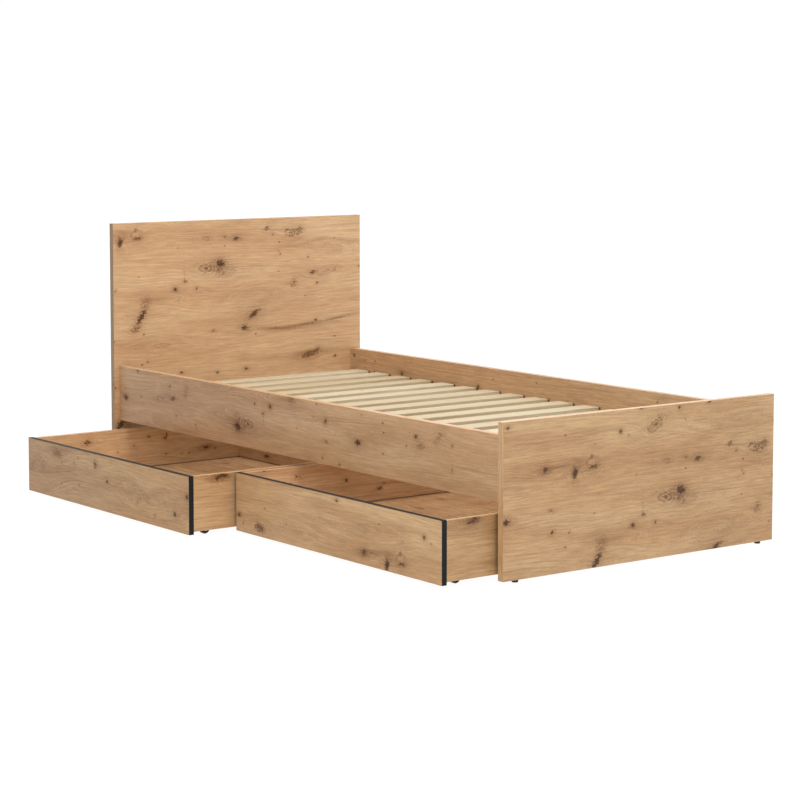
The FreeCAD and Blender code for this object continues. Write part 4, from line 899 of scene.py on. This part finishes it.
def meshPiece(name, mesh, material, body):
    data = bpy.data.meshes.new(name)
    mesh.to_mesh(data)
    mesh.free()
    data.materials.append(material)
    piece = bpy.data.objects.new(name, data)
    bpy.context.scene.collection.objects.link(piece)
    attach(piece, body)
    return piece


def strip(mesh, lowest, highest):
    corners = bmesh.ops.create_cube(mesh, size=1.0)["verts"]
    size = Vector(highest) - Vector(lowest)
    bmesh.ops.scale(mesh, vec=size, verts=corners)
    bmesh.ops.translate(mesh, vec=(Vector(highest) + Vector(lowest)) / 2, verts=corners)


def edgeBands(drawer):
    node = drawer + "_edge_bands"
    (x0, y0, z0), (x1, y1, z1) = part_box(node)
    thick = bandLook["thick"]
    mesh = bmesh.new()
    strip(mesh, (x0, y0, z0), (x0 + thick, y1, z1 - thick))
    strip(mesh, (x1 - thick, y0, z0), (x1, y1, z1 - thick))
    strip(mesh, (x0, y0, z1 - thick), (x1, y1, z1))
    # only the outer long edges are eased, the ones that a hand meets
    same = bandLook["same"]
    eased = []
    for edge in mesh.edges:
        first, second = [corner.co for corner in edge.verts]
        onTop = all(abs(corner.z - z1) < same for corner in (first, second))
        outer = all(min(abs(corner.x - x0), abs(corner.x - x1)) < same for corner in (first, second))
        crosses = abs((first - second).y) > same
        if (onTop or outer) and not crosses:
            eased.append(edge)
    ease, steps = bandLook["ease"], bandLook["easeSteps"]
    bmesh.ops.bevel(mesh, geom=eased, offset=ease, segments=steps, affect="EDGES", profile=0.5)
    piece = meshPiece(drawer + "_band_trim", mesh, blackBand, drawer)
    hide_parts(node)


blackBand = bandMaterial()
for name in drawerNames:
    edgeBands(name)
print("edge bands made")

# studio: white floor, a soft white room that is dimmer on the drawers' side, a warm key light from the
# foot end, a top light and a weak side light

studio = {
    "room": 1.03, "dimRoom": 0.55, "dimSide": (-0.1, -0.99, 0.1), "dimRange": (0.0, 0.9),
    # name, place, target, size, power and tint
    "lights": [
        ("keyLight", (8.5, -1.0, 10.0), (0.0, 0.0, 0.3), 6.0, 380.0, (1.0, 0.95, 0.88)),
        ("sideLight", (1.6, -2.6, 2.2), (0.2, -0.3, 0.2), 1.6, 25.0, (1.0, 1.0, 1.0)),
        ("topLight", (0.0, -0.9, 5.0), (0.0, 0.0, 0.0), 4.0, 170.0, (1.0, 1.0, 1.0)),
    ],
    "floor": rgb(89, 89, 89), "floorGlow": 0.95, "floorRough": 0.9, "floorGloss": 0.1, "floorReach": 60.0,
}


def areaLight(name, place, target, size, power, tint):
    data = bpy.data.lights.new(name, "AREA")
    data.shape = "DISK"
    data.size = size
    data.energy = power
    data.color = tint
    light = bpy.data.objects.new(name, data)
    light.location = place
    light.rotation_euler = (Vector(target) - Vector(place)).to_track_quat("-Z", "Y").to_euler()
    bpy.context.scene.collection.objects.link(light)


world = bpy.data.worlds.new("studioRoom")
world.use_nodes = True
backdrop = world.node_tree.nodes["Background"]
room = Shader(world.node_tree)
outwards = room.put("TexCoord", {}).outputs["Generated"]
dimSide = tuple(Vector(studio["dimSide"]).normalized())
towards = room.vectorMath("DOT_PRODUCT", outwards, dimSide)
dimming = room.spread(towards, *studio["dimRange"], studio["room"], studio["dimRoom"])
room.feed(backdrop.inputs["Strength"], dimming)
backdrop.inputs["Color"].default_value = (1.0, 1.0, 1.0, 1.0)
bpy.context.scene.world = world
for light in studio["lights"]:
    areaLight(*light)

floorMesh = bmesh.new()
bmesh.ops.create_circle(floorMesh, cap_ends=True, segments=96, radius=studio["floorReach"])
floorData = bpy.data.meshes.new("studioFloor")
floorMesh.to_mesh(floorData)
floorMesh.free()
floorMaterial, floorShader = newMaterial("studioFloor")
finishMaterial(floorShader, studio["floor"], studio["floorRough"], Specular_IOR_Level=studio["floorGloss"],
               Emission_Color=(1.0, 1.0, 1.0, 1.0), Emission_Strength=studio["floorGlow"])
floorData.materials.append(floorMaterial)
studioFloor = bpy.data.objects.new("studioFloor", floorData)
bpy.context.scene.collection.objects.link(studioFloor)
bpy.context.scene.view_settings.view_transform = "Standard"
print("studio lit")
